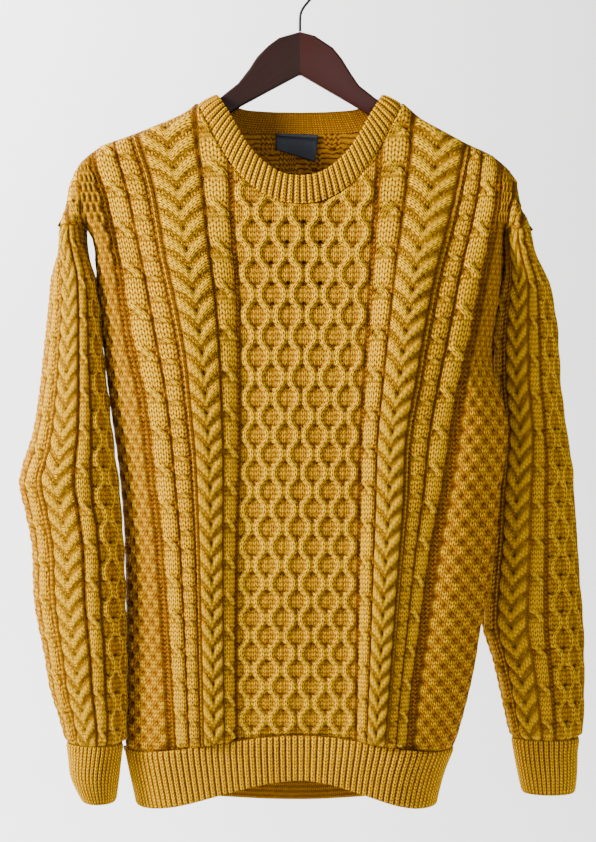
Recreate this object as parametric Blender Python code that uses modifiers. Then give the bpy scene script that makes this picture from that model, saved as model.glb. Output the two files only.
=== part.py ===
# Cable-knit crewneck sweater hanging on a wooden hanger. Metres, +Z up.
# The origin is the inside top of the hook, where a rail bears. The front faces -Y.
# Tables are in millimetres. "down" counts from a datum level just above the shoulders,
# and "out" from the middle plane of the hanger. Side -1 is the wearer's right, at -X.

import math

import bmesh
import bpy
import numpy as np
from mathutils import Vector

MM = 0.001
FRONT = -1
BACK = 1
DATUM_BELOW_RAIL = 58.5

# Cloth
WALL = 3.0
SEAM_GAP = 0.3
RELIEF = {"honeycomb": 4.6, "rope": 5.0, "vee": 4.6, "plait": 3.8, "line": 2.2, "moss": 2.4}
RIB_RELIEF = 2.2
SEAM_FADE = 12.0
SHOULDER_FADE = 16.0
UNDERARM_FADE = 60.0
SIDE_FADE = 6.0
FLAT_HEIGHT = 0.5
CELL_DROP = 5.0
ON_OUTLINE = 0.05

# Silhouette of the shoulders and upper arms, from the neck down to the sleeve seam
SHOULDER = {
    -1: {"down": [102, 113, 127, 137, 144, 154, 162, 177, 189, 200, 211, 228],
         "out": [102, 116, 148, 173, 193, 209, 218, 226, 230, 232, 234.5, 239]},
    1: {"down": [102, 109, 118, 132, 143, 155, 166, 180, 193, 207, 221, 232],
        "out": [102, 109.5, 120, 145, 165, 190, 204, 215, 218, 220, 226, 230]},
}
SLEEVE_SEAM_DOWN = {-1: 228.0, 1: 232.0}

# Side seams of the body, from the underarm down to the hem edge
SIDE = {
    -1: {"down": [150, 200, 228, 240, 300, 350, 400, 470, 530, 600, 700, 742, 764, 787, 812],
         "out": [219, 215.5, 213, 206, 199.5, 193.5, 188, 178, 173, 171, 172, 174, 170, 165, 160]},
    1: {"down": [160, 200, 232, 261, 289, 329, 350, 366, 386, 410, 427, 467, 492, 536, 590, 626,
                 664, 704, 742, 770, 790, 812],
        "out": [210, 207, 202, 201, 199, 193, 189.5, 191, 197, 204, 206.5, 203, 199, 195, 188,
                180, 174, 165, 154, 143, 137.5, 133]},
}

# Where the gutter beside the honeycomb and the two single knit lines run down the body
GUTTER = {
    -1: {"down": [150, 240, 300, 440, 540, 640, 745], "out": [68, 64.5, 60, 59, 62, 63, 62]},
    1: {"down": [150, 240, 300, 440, 540, 640, 745], "out": [78, 71.5, 68, 59.5, 57.5, 56.5, 55]},
}
LINE_ONE = {
    -1: {"down": [120, 145, 180, 225, 261, 300, 356, 409, 455, 500, 600, 745],
         "out": [168, 162, 150, 140, 133, 124, 113, 107, 102.5, 100, 97, 94]},
    1: {"down": [120, 148, 177, 211, 240, 272, 310, 340, 381, 436, 498, 574, 680, 745],
        "out": [172, 166, 160, 152, 144, 135, 127, 121, 114, 104, 101, 95, 87, 82]},
}
LINE_TWO = {
    -1: {"down": [140, 170, 200, 234, 270, 305, 350, 391, 436, 475, 521, 567, 641, 745],
         "out": [210, 205, 195, 187, 179, 174, 166, 155.5, 149, 145, 138.5, 134.5, 129, 123]},
    1: {"down": [150, 176, 207, 240, 287, 350, 368, 406, 452, 498, 536, 574, 626, 680, 745],
        "out": [198, 198, 196, 190, 180, 167, 162, 154, 147, 139, 131, 125, 118, 110, 105]},
}

# Half depth of the body at each level, and how wide its rounded edge is
DEPTH = {
    FRONT: {"down": [95, 130, 160, 200, 240, 300, 400, 500, 600, 700, 745, 812],
            "half": [15, 24, 33, 44, 54, 64, 73, 74, 72, 69, 65, 52]},
    BACK: {"down": [95, 130, 160, 200, 240, 300, 400, 500, 600, 700, 745, 812],
           "half": [15, 21, 28, 38, 48, 58, 67, 70, 70, 70, 69, 66]},
}
SHOULDER_ROUNDING = {"down": [95, 160, 228, 240], "width": [22, 20, 13, 13]}
SIDE_ROUNDING = {"down": [95, 232, 262, 300, 400, 745], "width": [13, 13, 24, 38, 48, 56]}

# Neckline of the front and of the back, as half width out to height
NECK_HALF = 102.0
NECKLINE = {
    FRONT: {"out": [0, 16, 32, 45, 58, 70, 81, 90, 97, 102],
            "down": [207.5, 206, 200, 192, 180, 165, 147, 129, 115, 103.5]},
    BACK: {"out": [0, 40, 60, 75, 88, 97, 102],
           "down": [131.5, 131, 129, 124, 116, 109, 103.5]},
}
BAND_TOP = {
    FRONT: {"out": [0, 17, 34, 50, 61, 71, 78, 82],
            "down": [179, 176.5, 166, 149, 131, 113, 102, 96]},
    BACK: {"out": [0, 35, 58, 70, 78, 82], "down": [110.5, 109.5, 107, 103, 99, 96]},
}
BAND_LEAN = 0.82
BAND_RIBS = 62
BAND_SWELL = 2.0
BAND_CALM = 0.35
BAND_CLEAR = 1.2
BAND_SHOULDER_CLEAR = 1.0

# Hem seam and hem edge, as a height at the middle and at the side seams
HEM_SEAM = {FRONT: (727.0, 745.0), BACK: (752.0, 745.0)}
HEM_EDGE = {FRONT: (772.0, 803.0), BACK: (809.0, 803.0)}
HEM_RIBS = 52

# Sleeves: outer and inner edge, middle of the depth and half depth at each level
SLEEVE = {
    -1: {"down": [228, 246, 268, 300, 350, 400, 437, 464, 482, 508, 541, 600, 653, 687, 715, 738,
                  753, 771, 797],
         "outer": [239, 242, 246, 248.5, 253, 258, 264, 273, 277, 270, 264, 261, 251, 245, 236,
                   230, 227, 224, 213],
         "inner": [213.8, 210.5, 208.5, 206.5, 203, 197, 192.5, 189, 186.5, 184.5, 182, 180, 178.5,
                   178, 178, 179, 181, 182.5, 184],
         "middle": [0, -4, -8, -12, -17, -22, -26, -28, -29, -29, -29, -29, -29, -29, -29, -28,
                    -27, -27, -26],
         "half": [48, 47, 46, 46, 45, 45, 45, 45, 45, 45, 45, 44, 42, 40, 38, 36, 34, 32, 27]},
    1: {"down": [232, 250, 261, 296, 341, 383, 426, 467, 490, 544, 590, 626, 664, 695, 728, 741,
                 756, 779, 797],
        "outer": [230, 236, 238, 247, 255, 260, 267, 273, 275, 279, 282, 285, 285.5, 285, 283.5,
                  282, 279, 278, 277],
        "inner": [202.8, 204.5, 205, 202, 198, 200, 204, 201, 198, 194, 190, 188, 199, 206, 213,
                  216, 219.5, 224, 227],
        "middle": [0, 5, 9, 20, 32, 45, 57, 58, 58, 57, 55, 52, 48, 44, 41, 39, 38, 37, 36],
        "half": [48, 47, 46, 46, 45, 45, 45, 45, 45, 44, 43, 42, 41, 40, 38, 36, 34, 31, 27]},
}
CUFF_SEAM_DOWN = {-1: 738.0, 1: 741.0}
CUFF_EDGE_DOWN = 797.0
SLEEVE_BLEND = 55.0
SLEEVE_HONEYCOMB_AT = {-1: math.radians(60), 1: math.radians(50)}
SLEEVE_REPEAT = 36.7
CUFF_RIBS = 34

# Hanger and hook
HANGER_HALF_THICK = 4.5
HANGER_BEVEL = 2.0
HANGER_SEAT = 5.4
HANGER_ARM_DEEP = 21.0
HANGER_END_OUT = 196.0
HANGER_TOP = {-1: [(0, 32), (21, 38), (32, 46), (43, 57), (51.5, 70), (62, 83.5), (80, 98)],
              1: [(15, 36), (33, 48), (42, 59), (50.5, 73), (59, 85.5), (76, 99)]}
HANGER_NOTCH = (0, 75)
HANGER_UNDER = {-1: (59, 106.5), 1: (57, 108)}
HOOK_RADIUS = 26.0
HOOK_WIRE = 1.4
HOOK_STEM = [(0, 31.4), (0, 22), (0.6, 14), (4, 7), (10.5, -1), (17, -9.5)]

# Label
LABEL_CORNERS = [(-24, 130.5), (18.5, 132), (15.5, 158.5), (-24.5, 146)]
LABEL_THICK = 0.9
LABEL_CLEAR = 1.3

MUSTARD = (0.50, 0.27, 0.035, 1.0)
MATERIALS = {
    "knit": {"color": MUSTARD, "roughness": 0.9, "metallic": 0.0},
    "rib_knit": {"color": (0.47, 0.25, 0.035, 1.0), "roughness": 0.9, "metallic": 0.0},
    "satin": {"color": (0.02, 0.02, 0.03, 1.0), "roughness": 0.45, "metallic": 0.0},
    "wood": {"color": (0.06, 0.018, 0.01, 1.0), "roughness": 0.35, "metallic": 0.0},
    "wire": {"color": (0.01, 0.01, 0.01, 1.0), "roughness": 0.4, "metallic": 0.8},
}


def curve(table, at, value):
    """Smooth value of one column of a table at a level, by a cubic through its rows."""
    keys = table[at]
    values = table[value]
    slopes = np.gradient(values, keys)

    def read(where):
        where = min(max(where, keys[0]), keys[-1])
        k = min(int(np.searchsorted(keys, where, side="right")) - 1, len(keys) - 2)
        span = keys[k + 1] - keys[k]
        t = (where - keys[k]) / span
        rise = values[k + 1] - values[k]
        start = limited_slope(slopes[k] * span, rise)
        end = limited_slope(slopes[k + 1] * span, rise)
        return (values[k] + t * t * (3 - 2 * t) * rise + t * (1 - t) ** 2 * start
                - t * t * (1 - t) * end)

    return read


def limited_slope(slope, rise):
    """Keep a cubic from overshooting between two rows."""
    if slope * rise <= 0:
        return 0.0
    return math.copysign(min(abs(slope), 2.5 * abs(rise)), slope)


def smooth(t):
    t = min(max(t, 0.0), 1.0)
    return t * t * (3 - 2 * t)


shoulder_out = {s: curve(SHOULDER[s], "down", "out") for s in (-1, 1)}
side_out = {s: curve(SIDE[s], "down", "out") for s in (-1, 1)}
gutter_out = {s: curve(GUTTER[s], "down", "out") for s in (-1, 1)}
line_one_out = {s: curve(LINE_ONE[s], "down", "out") for s in (-1, 1)}
line_two_out = {s: curve(LINE_TWO[s], "down", "out") for s in (-1, 1)}
half_depth = {f: curve(DEPTH[f], "down", "half") for f in (FRONT, BACK)}
shoulder_width = curve(SHOULDER_ROUNDING, "down", "width")
side_width = curve(SIDE_ROUNDING, "down", "width")
neck_down = {f: curve(NECKLINE[f], "out", "down") for f in (FRONT, BACK)}
band_top_down = {f: curve(BAND_TOP[f], "out", "down") for f in (FRONT, BACK)}
sleeve_row = {s: {c: curve(SLEEVE[s], "down", c) for c in ("outer", "inner", "middle", "half")}
              for s in (-1, 1)}


def outline_segments(reads, ends):
    """One part of the silhouette on both sides, as short segments of (x, down)."""
    runs = []
    for side in (-1, 1):
        top, bottom = ends(side)
        levels = np.linspace(top, bottom, max(int((bottom - top) / 4), 2))
        points = np.array([(side * reads[side](d), d) for d in levels])
        runs.append(np.hstack([points[:-1], points[1:]]))
    return np.vstack(runs)


SHOULDER_SEGMENTS = outline_segments(shoulder_out, lambda side: (102.0, SLEEVE_SEAM_DOWN[side]))
SIDE_SEGMENTS = outline_segments(side_out, lambda side: (SLEEVE_SEAM_DOWN[side], 812.0))


def outline_distance(segments, x, down):
    """Distance to a part of the silhouette, and the unit direction from it to this point."""
    start = segments[:, :2]
    along = segments[:, 2:] - start
    t = ((x - start[:, 0]) * along[:, 0] + (down - start[:, 1]) * along[:, 1])
    t = np.clip(t / (along ** 2).sum(axis=1), 0, 1)[:, None]
    away = np.array([x, down]) - (start + t * along)
    lengths = np.hypot(away[:, 0], away[:, 1])
    nearest = int(lengths.argmin())
    inward = np.array([-along[nearest, 1], along[nearest, 0]])
    inward /= np.hypot(*inward)
    if inward[0] * x > 0:
        inward = -inward
    near = lengths[nearest] < ON_OUTLINE or (lengths[nearest] < 1.0 and away[nearest] @ inward < 0)
    if near:
        return 0.0, inward
    return lengths[nearest], away[nearest] / lengths[nearest]


def rounding(segments, width, x, down):
    """Rise of a rounded edge, 0 at the silhouette to 1, its slope and its direction."""
    distance, inward = outline_distance(segments, x, down)
    left = 1 - min(distance / width, 1.0)
    return math.sqrt(1 - left ** 2), left / width, inward


def cloth(face, x, down, lift=0.0, level=False):
    """Point on the plain cloth of the body and the way out of it, in millimetres."""
    depth = half_depth[face](down)
    over, over_slope, over_in = rounding(SHOULDER_SEGMENTS, shoulder_width(down), x, down)
    beside, beside_slope, beside_in = rounding(SIDE_SEGMENTS, side_width(down), x, down)
    rise = over * beside
    inward = over_slope * beside ** 2 * over_in + beside_slope * over ** 2 * beside_in
    lean = (half_depth[face](down + 2) - half_depth[face](down - 2)) / 4
    y = face * max(depth * rise + lift * rise ** 2, SEAM_GAP / 2)
    out = Vector((-inward[0] * depth, face * rise, inward[1] * depth + lean * rise ** 2))
    if level:
        out.z = 0.0
    return Vector((x, y, -(down + DATUM_BELOW_RAIL))), out.normalized()


# Body repeats: one repeat is a full honeycomb cell and a full turn of the large ropes
REPEATS = {"down": [75, 116, 399, 579, 647, 711, 850], "count": [-4, -3, 4, 9, 11, 13, 17.3]}


def body_repeat(down):
    return float(np.interp(down, REPEATS["down"], REPEATS["count"]))


def body_level(count):
    return float(np.interp(count, REPEATS["count"], REPEATS["down"]))


def sleeve_repeat(down):
    return (down - 531.0) / SLEEVE_REPEAT


def sleeve_level(count):
    return 531.0 + count * SLEEVE_REPEAT


# Raised height of each kind of stitch column, as a share of its relief, at a repeat count
ROPE_TURN = [1.0, 0.6, 0.1]


def stitch_height(kind, index, count, steps):
    """kind names the cable, index its column from the left, steps the rows in one repeat."""
    row = int(round(count * steps))
    if kind == "honeycomb":
        share = 1.0 if (index + row) % 2 == 0 else 0.0
    elif kind == "rope":
        share = ROPE_TURN[(row - index) % 3]
    elif kind == "vee":
        share = (1.0, 0.25)[(row + index) % 2]
    elif kind == "plait":
        share = (1.0, 0.3)[row % 2]
    elif kind == "line":
        share = 1.0
    elif kind == "moss":
        share = 1.0 if (index + row) % 2 == 0 else 0.0
    else:
        return 0.0
    return RELIEF[kind] * share


STEPS = {"honeycomb": 2, "rope": 3, "vee": 4, "plait": 4, "line": 1, "moss": 2, "low": 1}
INNER_STEPS = {"inner": 1 / 4, "outer": 1 / 2, "side": 1, "edge": 1, "arm": 1}

# Columns between the gutter and line one, and between the two lines: kind, place, number, fold
INNER_COLUMNS = [("low", 0.0, 0, -4), ("rope", 0.12, 0, -2), ("rope", 0.26, 1, 1),
                 ("low", 0.355, 0, 2), ("vee", 0.52, 0, 4), ("vee", 0.79, 1, 5),
                 ("low", 0.94, 0, 4), ("line", 1.0, 0, 3)]
OUTER_COLUMNS = [("low", 0.07, 0, 2), ("plait", 0.27, 0, 1), ("low", 0.46, 0, -1),
                 ("rope", 0.59, 0, -2), ("rope", 0.79, 1, -4), ("line", 1.0, 0, -6)]
MOSS_START = 0.12
MOSS_COLUMNS = 3
MOSS_SPREAD = 1.8
ARM_PLACES = [0.2, 0.62, 1.0]
HONEYCOMB_COLUMNS = 8
HONEYCOMB_FOLD = -5


class Column:
    """One line of points down the cloth: its kind of stitch and where it runs."""

    def __init__(self, kind, index, fold, place, zone):
        self.kind = kind
        self.index = index
        self.fold = fold
        self.place = place
        self.zone = zone


def between(start, end, share):
    return lambda down: start(down) + share * (end(down) - start(down))


def body_columns():
    """Every column of the front or back, from -X to +X."""
    halves = {}
    for side in (-1, 1):
        gutter, one, two, edge = (
            (lambda down, read=read[side], side=side: side * read(down))
            for read in (gutter_out, line_one_out, line_two_out, side_out))
        half = [Column(kind, index, fold, between(gutter, one, place), "inner")
                for kind, place, index, fold in INNER_COLUMNS]
        half += [Column(kind, index, fold, between(one, two, place), "outer")
                 for kind, place, index, fold in OUTER_COLUMNS]
        half.append(Column("low", 0, -5, between(two, edge, MOSS_START), "side"))
        for k in range(1, MOSS_COLUMNS):
            share = 1 - (1 - MOSS_START) * (1 - k / MOSS_COLUMNS) ** MOSS_SPREAD
            half.append(Column("moss", k, -2, between(two, edge, share), "side"))
        half.append(Column("low", 0, 0, edge, "edge"))
        reach = SHOULDER[side]["out"][-1] - side_out[side](SLEEVE_SEAM_DOWN[side])
        for k, share in enumerate(ARM_PLACES):
            half.append(Column("moss", k, 0,
                               lambda down, edge=edge, move=side * share * reach: edge(down) + move,
                               "arm"))
        halves[side] = half
    left_gutter = halves[-1][0].place
    right_gutter = halves[1][0].place
    middle = []
    for k in range(HONEYCOMB_COLUMNS + 1):
        share = 0.035 + 0.93 * k / HONEYCOMB_COLUMNS
        middle.append(Column("honeycomb", k, HONEYCOMB_FOLD,
                             between(left_gutter, right_gutter, share), "inner"))
    return halves[-1][::-1] + middle + halves[1]


def inside_outline(face, x, down):
    side = -1 if x < 0 else 1
    if abs(x) < NECK_HALF and down < neck_down[face](abs(x)):
        return False
    return down > 102.0 and abs(x) < shoulder_out[side](down)


def column_top(face, column, start):
    """Highest level of a column, where it meets the neckline or the shoulder seam."""
    low = start
    while inside_outline(face, column.place(low - 1.0), low - 1.0):
        low -= 1.0
    high = low - 1.0
    for _ in range(20):
        middle = (low + high) / 2
        if inside_outline(face, column.place(middle), middle):
            low = middle
        else:
            high = middle
    return low


def hem_level(levels, x):
    """Height of the hem seam or edge: level in the middle, turning down or up to the sides."""
    side = -1 if x < 0 else 1
    return levels[0] + (levels[1] - levels[0]) * smooth(abs(x) / side_out[side](770.0))


SHOULDER_ROWS = (1.6, 7.0, 18.0)
CROTCH_ROWS = (-18.0, -9.0, -3.0, 0.0, 6.0, 16.0)
CLOSEST_ROWS = 3.2


def column_rows(face, column, steps):
    """Levels of the points of a column, from the top down."""
    side = -1 if column.place(300.0) < 0 else 1
    seam = SLEEVE_SEAM_DOWN[side]
    if column.zone == "arm":
        if abs(column.place(seam)) > shoulder_out[side](seam) - 0.5:
            return [seam]
        top = column_top(face, column, seam)
        bottom = seam
    else:
        top = column_top(face, column, 240.0)
        bottom = hem_level(HEM_SEAM[face], column.place(745.0))
    rows = [top]
    if abs(column.place(top)) > NECK_HALF - 1:
        rows += [top + step for step in SHOULDER_ROWS]
    if column.zone == "arm":
        rows = [d for d in rows if d < seam - 4]
    if column.zone in ("side", "edge", "arm"):
        rows += [seam + step for step in CROTCH_ROWS
                 if rows[-1] + CLOSEST_ROWS < seam + step < bottom + 0.1]
    if bottom not in rows:
        rows.append(bottom)
    clear = top + SHOULDER_ROWS[-1] if len(rows) > 2 else top
    count = math.ceil(body_repeat(clear) * steps)
    while body_level(count / steps) < bottom:
        level = body_level(count / steps)
        if level > clear and min(abs(level - d) for d in rows) > CLOSEST_ROWS:
            rows.append(level)
        count += 1
    return sorted(rows)


def matching_level(level, top):
    """Rows along the shoulder seam are matched by their distance from it, the rest by level."""
    below = level - top
    return below - 1000.0 if below <= SHOULDER_ROWS[-1] + 0.01 else level


def zip_strip(mesh, left, right):
    """Fill between two runs of (level, height, vertex), with edges along the raised diagonal."""
    i = j = 0
    while i < len(left) - 1 or j < len(right) - 1:
        if j == len(right) - 1:
            on_left = True
        elif i == len(left) - 1:
            on_left = False
        else:
            ahead = left[i + 1][0] - right[j + 1][0]
            raised = left[i + 1][1] + right[j][1] - left[i][1] - right[j + 1][1]
            on_left = ahead < 0 if abs(ahead) > 1.0 else raised > -FLAT_HEIGHT
        corners = [left[i][2], right[j][2], left[i + 1][2] if on_left else right[j + 1][2]]
        if len(set(corners)) == 3:
            mesh.faces.new(corners)
        if on_left:
            i += 1
        else:
            j += 1


def add_run(mesh, levels, point_at):
    """Make the vertices of one column and return its run for zip_strip."""
    run = []
    for level in levels:
        point, height = point_at(level)
        run.append((level, height, mesh.verts.new(point * MM)))
    return run


def matched(run, limit):
    """The run down to a level, with the rows near its top keyed by distance from the seam."""
    top = run[0][0]
    return [(matching_level(node[0], top), node[1], node[2]) for node in run if node[0] <= limit]


def fade(level, top, bottom):
    return smooth((level - top) / SEAM_FADE) * smooth((bottom - level) / SEAM_FADE)


def body_point(face, column, level, rows, steps, outer):
    side = -1 if column.place(300.0) < 0 else 1
    seam = SLEEVE_SEAM_DOWN[side]
    x = column.place(level)
    calm = smooth((level - 190.0) / 90.0)
    at_seam = level == rows[-1] or (column.zone == "arm" and level == seam)
    point, out = cloth(face, x, level, column.fold * calm, at_seam)
    if column.zone == "edge" and level == seam:
        out = Vector((0.0, 0.0, -1.0))
    height = 0.0
    if outer:
        height = stitch_height(column.kind, column.index, body_repeat(level), steps)
        height *= fade(level, rows[0], rows[-1])
        height *= smooth(outline_distance(SHOULDER_SEGMENTS, x, level)[0] / SHOULDER_FADE)
        if column.zone in ("side", "arm"):
            height *= smooth(abs(level - seam) / UNDERARM_FADE)
            height *= smooth(outline_distance(SIDE_SEGMENTS, x, level)[0] / SIDE_FADE)
        inside = rows[0] + CLOSEST_ROWS < level < rows[-1] - 2 * CELL_DROP
        if column.kind == "honeycomb" and height == 0 and inside:
            level += CELL_DROP
            point, out = cloth(face, column.place(level), level, column.fold * calm)
    return point + out * (height if outer else -WALL), height


def make_panel(name, face):
    """Front or back: a raised outer layer over a plain inner one, closed along its edges."""
    mesh = bmesh.new()
    columns = body_columns()
    layers = {}
    for outer in (True, False):
        runs = []
        for number, column in enumerate(columns):
            mirrored = face == BACK and column.kind == "rope"
            steps = STEPS[column.kind]
            spacing = steps if outer else INNER_STEPS[column.zone]
            rows = column_rows(face, column, spacing)
            if mirrored:
                column = Column("rope", 1 - column.index, column.fold, column.place, column.zone)
            runs.append((number, add_run(mesh, rows, lambda level, c=column, r=rows, s=steps:
                                         body_point(face, c, level, r, s, outer))))
        layers[outer] = dict(runs)
        for (k, left), (m, right) in zip(runs, runs[1:]):
            limit = 1000.0
            if "arm" in (columns[k].zone, columns[m].zone):
                limit = SLEEVE_SEAM_DOWN[-1 if k < len(columns) / 2 else 1] + 0.01
            zip_strip(mesh, matched(left, limit), matched(right, limit))
    close_panel(mesh, columns, layers)
    return finish_mesh(name, mesh)


def close_panel(mesh, columns, layers):
    """Close the wall along the top, the hem seam, the side seams and the sleeve seams."""
    last = len(columns)
    edges = [k for k, column in enumerate(columns) if column.zone == "edge"]

    def across(runs, picked, pick):
        return [(k * 10.0, 0.0, pick(runs[k])) for k in picked if k in runs]

    def at_seam(side):
        return lambda run: next(n[2] for n in run if abs(n[0] - SLEEVE_SEAM_DOWN[side]) < 0.01)

    rims = [
        (range(last), lambda run: run[0][2]),
        (range(edges[0], edges[1] + 1), lambda run: run[-1][2]),
        (range(0, edges[0] + 1), at_seam(-1)),
        (range(edges[1], last), at_seam(1)),
    ]
    for picked, pick in rims:
        zip_strip(mesh, across(layers[True], picked, pick), across(layers[False], picked, pick))
    for k, side in zip(edges, (-1, 1)):
        runs = [[n for n in layers[outer][k] if n[0] >= SLEEVE_SEAM_DOWN[side] - 0.01]
                for outer in (True, False)]
        zip_strip(mesh, *runs)


def finish_mesh(name, mesh):
    """Turn the faces outwards and make the object."""
    bmesh.ops.recalc_face_normals(mesh, faces=mesh.faces[:])
    data = bpy.data.meshes.new(name)
    mesh.to_mesh(data)
    mesh.free()
    return bpy.data.objects.new(name, data)


def ring_solid(name, outer_rings, inner_rings):
    """Closed tube from rings of (number, point), top to bottom, with rims at both ends."""
    mesh = bmesh.new()
    layers = []
    for rings in (outer_rings, inner_rings):
        rows = []
        for ring in rings:
            rows.append([(number * 10.0, 0.0, mesh.verts.new(point * MM))
                         for number, point in ring])
            rows[-1].append((1e6, 0.0, rows[-1][0][2]))
        for k in range(len(rows) - 1):
            zip_strip(mesh, rows[k], rows[k + 1])
        layers.append(rows)
    zip_strip(mesh, layers[0][0], layers[1][0])
    zip_strip(mesh, layers[0][-1], layers[1][-1])
    return finish_mesh(name, mesh)


def rib_height(k):
    return RIB_RELIEF if k % 2 == 1 else 0.0


def even_places(face, count):
    """Places across the hem, -1 to 1, evenly spaced along the cloth round its sides."""
    shares = np.linspace(-1, 1, 801)
    shares = np.sign(shares) * (1 - (1 - np.abs(shares)) ** 1.6)
    points = np.array([cloth(face, hem_x(share, 765.0), 765.0)[0][:] for share in shares])
    lengths = np.concatenate([[0], np.cumsum(np.linalg.norm(np.diff(points, axis=0), axis=1))])
    return np.interp(np.linspace(0, lengths[-1], count + 1), lengths, shares)


def hem_x(share, down):
    return share * side_out[-1 if share < 0 else 1](down)


def make_hem(name, face):
    """Ribbed hem of the front or back, raised ribs over a plain inside."""
    mesh = bmesh.new()
    layers = []
    places = even_places(face, HEM_RIBS * 2)
    for outer in (True, False):
        picked = [k for k in range(len(places)) if outer or k % 2 == 0]
        runs = []
        for k in picked:
            run = []
            for row, share in enumerate((0.0, 1.0)):
                x = hem_x(places[k], 745.0)
                top = hem_level(HEM_SEAM[face], x) + SEAM_GAP
                bottom = hem_level(HEM_EDGE[face], x)
                down = top + share * (bottom - top)
                point, out = cloth(face, hem_x(places[k], down), down, 0.0, row == 0)
                calm = min(k, len(places) - 1 - k) / 3
                height = rib_height(k) * min(calm, 1.0)
                run.append((share * 60.0, height,
                            mesh.verts.new((point + out * (height if outer else -WALL)) * MM)))
            runs.append(run)
        for k in range(len(runs) - 1):
            zip_strip(mesh, runs[k], runs[k + 1])
        layers.append((picked, runs))
    for end in (0, -1):
        rims = [[(picked[k] * 10.0, 0.0, run[end][2]) for k, run in enumerate(runs)]
                for picked, runs in layers]
        zip_strip(mesh, *rims)
        zip_strip(mesh, layers[0][1][end], layers[1][1][end])
    return finish_mesh(name, mesh)


def sleeve_section(side, angle, down):
    """Plain sleeve at an angle round it (0 at the front, towards +X) and a level."""
    seam = SLEEVE_SEAM_DOWN[side]
    row = {key: read(max(down, seam)) for key, read in sleeve_row[side].items()}
    middle = side * (row["outer"] + row["inner"]) / 2
    half = (row["outer"] - row["inner"]) / 2
    x = middle + half * math.sin(angle)
    y = row["middle"] - row["half"] * math.cos(angle)
    share = smooth((down - seam) / SLEEVE_BLEND)
    if share < 1:
        face = FRONT if math.cos(angle) > 0 else BACK
        start = SHOULDER[side]["out"][-1]
        end = side_out[side](seam) + 0.6
        seam_x = side * (start + end) / 2 + (start - end) / 2 * math.sin(angle)
        seam_y = cloth(face, seam_x, seam)[0].y
        x = seam_x + share * (x - seam_x)
        y = seam_y + share * (y - seam_y)
    return Vector((x, y, -(down + DATUM_BELOW_RAIL)))


def sleeve_out(side, angle, down, level=False):
    """Way out of the sleeve, from the slopes round it and down it."""
    step = 0.02
    round_it = sleeve_section(side, angle + step, down) - sleeve_section(side, angle - step, down)
    lower = sleeve_section(side, angle, down + 1.5)
    down_it = lower - sleeve_section(side, angle, max(down - 1.5, SLEEVE_SEAM_DOWN[side]))
    out = round_it.cross(down_it).normalized()
    if out.y * -math.cos(angle) + out.x * math.sin(angle) < 0:
        out = -out
    if level:
        out.z = 0.0
    return out.normalized()


def sleeve_inside(side, angle, down):
    """Point on the plain inner layer: the section drawn in by the wall on every side."""
    point = sleeve_section(side, angle, down)
    left, right, front, back = (sleeve_section(side, turn * math.pi, down) for turn in (-0.5, 0.5, 0, 1))
    x = (left.x + right.x) / 2
    y = (front.y + back.y) / 2
    x += (point.x - x) * (1 - WALL / ((right.x - left.x) / 2))
    y += (point.y - y) * (1 - WALL / ((back.y - front.y) / 2))
    return Vector((x, y, point.z))


# Columns of half a sleeve from the middle of its honeycomb: kind, number, place in millimetres
SLEEVE_HALF_ROUND = 142.0
SLEEVE_COLUMNS = [("honeycomb", 1, 13.0), ("honeycomb", 2, 26.0), ("low", 0, 29.5),
                  ("rope", 0, 35.0), ("rope", 1, 42.5), ("low", 0, 48.0), ("vee", 0, 56.0),
                  ("vee", 1, 70.0), ("low", 0, 78.0), ("line", 0, 82.0),
                  ("rope", 0, 88.5), ("rope", 1, 96.0), ("low", 0, 102.0),
                  ("moss", 0, 112.0), ("moss", 1, 127.0)]
SLEEVE_BACK_COLUMN = ("moss", 2, 142.0)


def sleeve_columns():
    """Columns all round a sleeve, with their angle from the honeycomb."""
    right = [(kind, index, math.pi * place / SLEEVE_HALF_ROUND)
             for kind, index, place in SLEEVE_COLUMNS]
    left = []
    for kind, index, angle in right:
        number = 1 - index if kind == "rope" else -index if kind == "honeycomb" else index
        left.append((kind, number, -angle))
    kind, index, place = SLEEVE_BACK_COLUMN
    back = (kind, index, math.pi * place / SLEEVE_HALF_ROUND)
    return [("honeycomb", 0, 0.0)] + right + [back] + left[::-1]


SLEEVE_TOP_ROWS = (0.0, 9.0, 24.0)
SLEEVE_INNER_ROWS = (0.0, 9.0, 24.0, 50.0, 100.0, 150.0, 195.0, 228.0, 250.0, 275.0, 315.0,
                     370.0, 425.0, 470.0)


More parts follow.
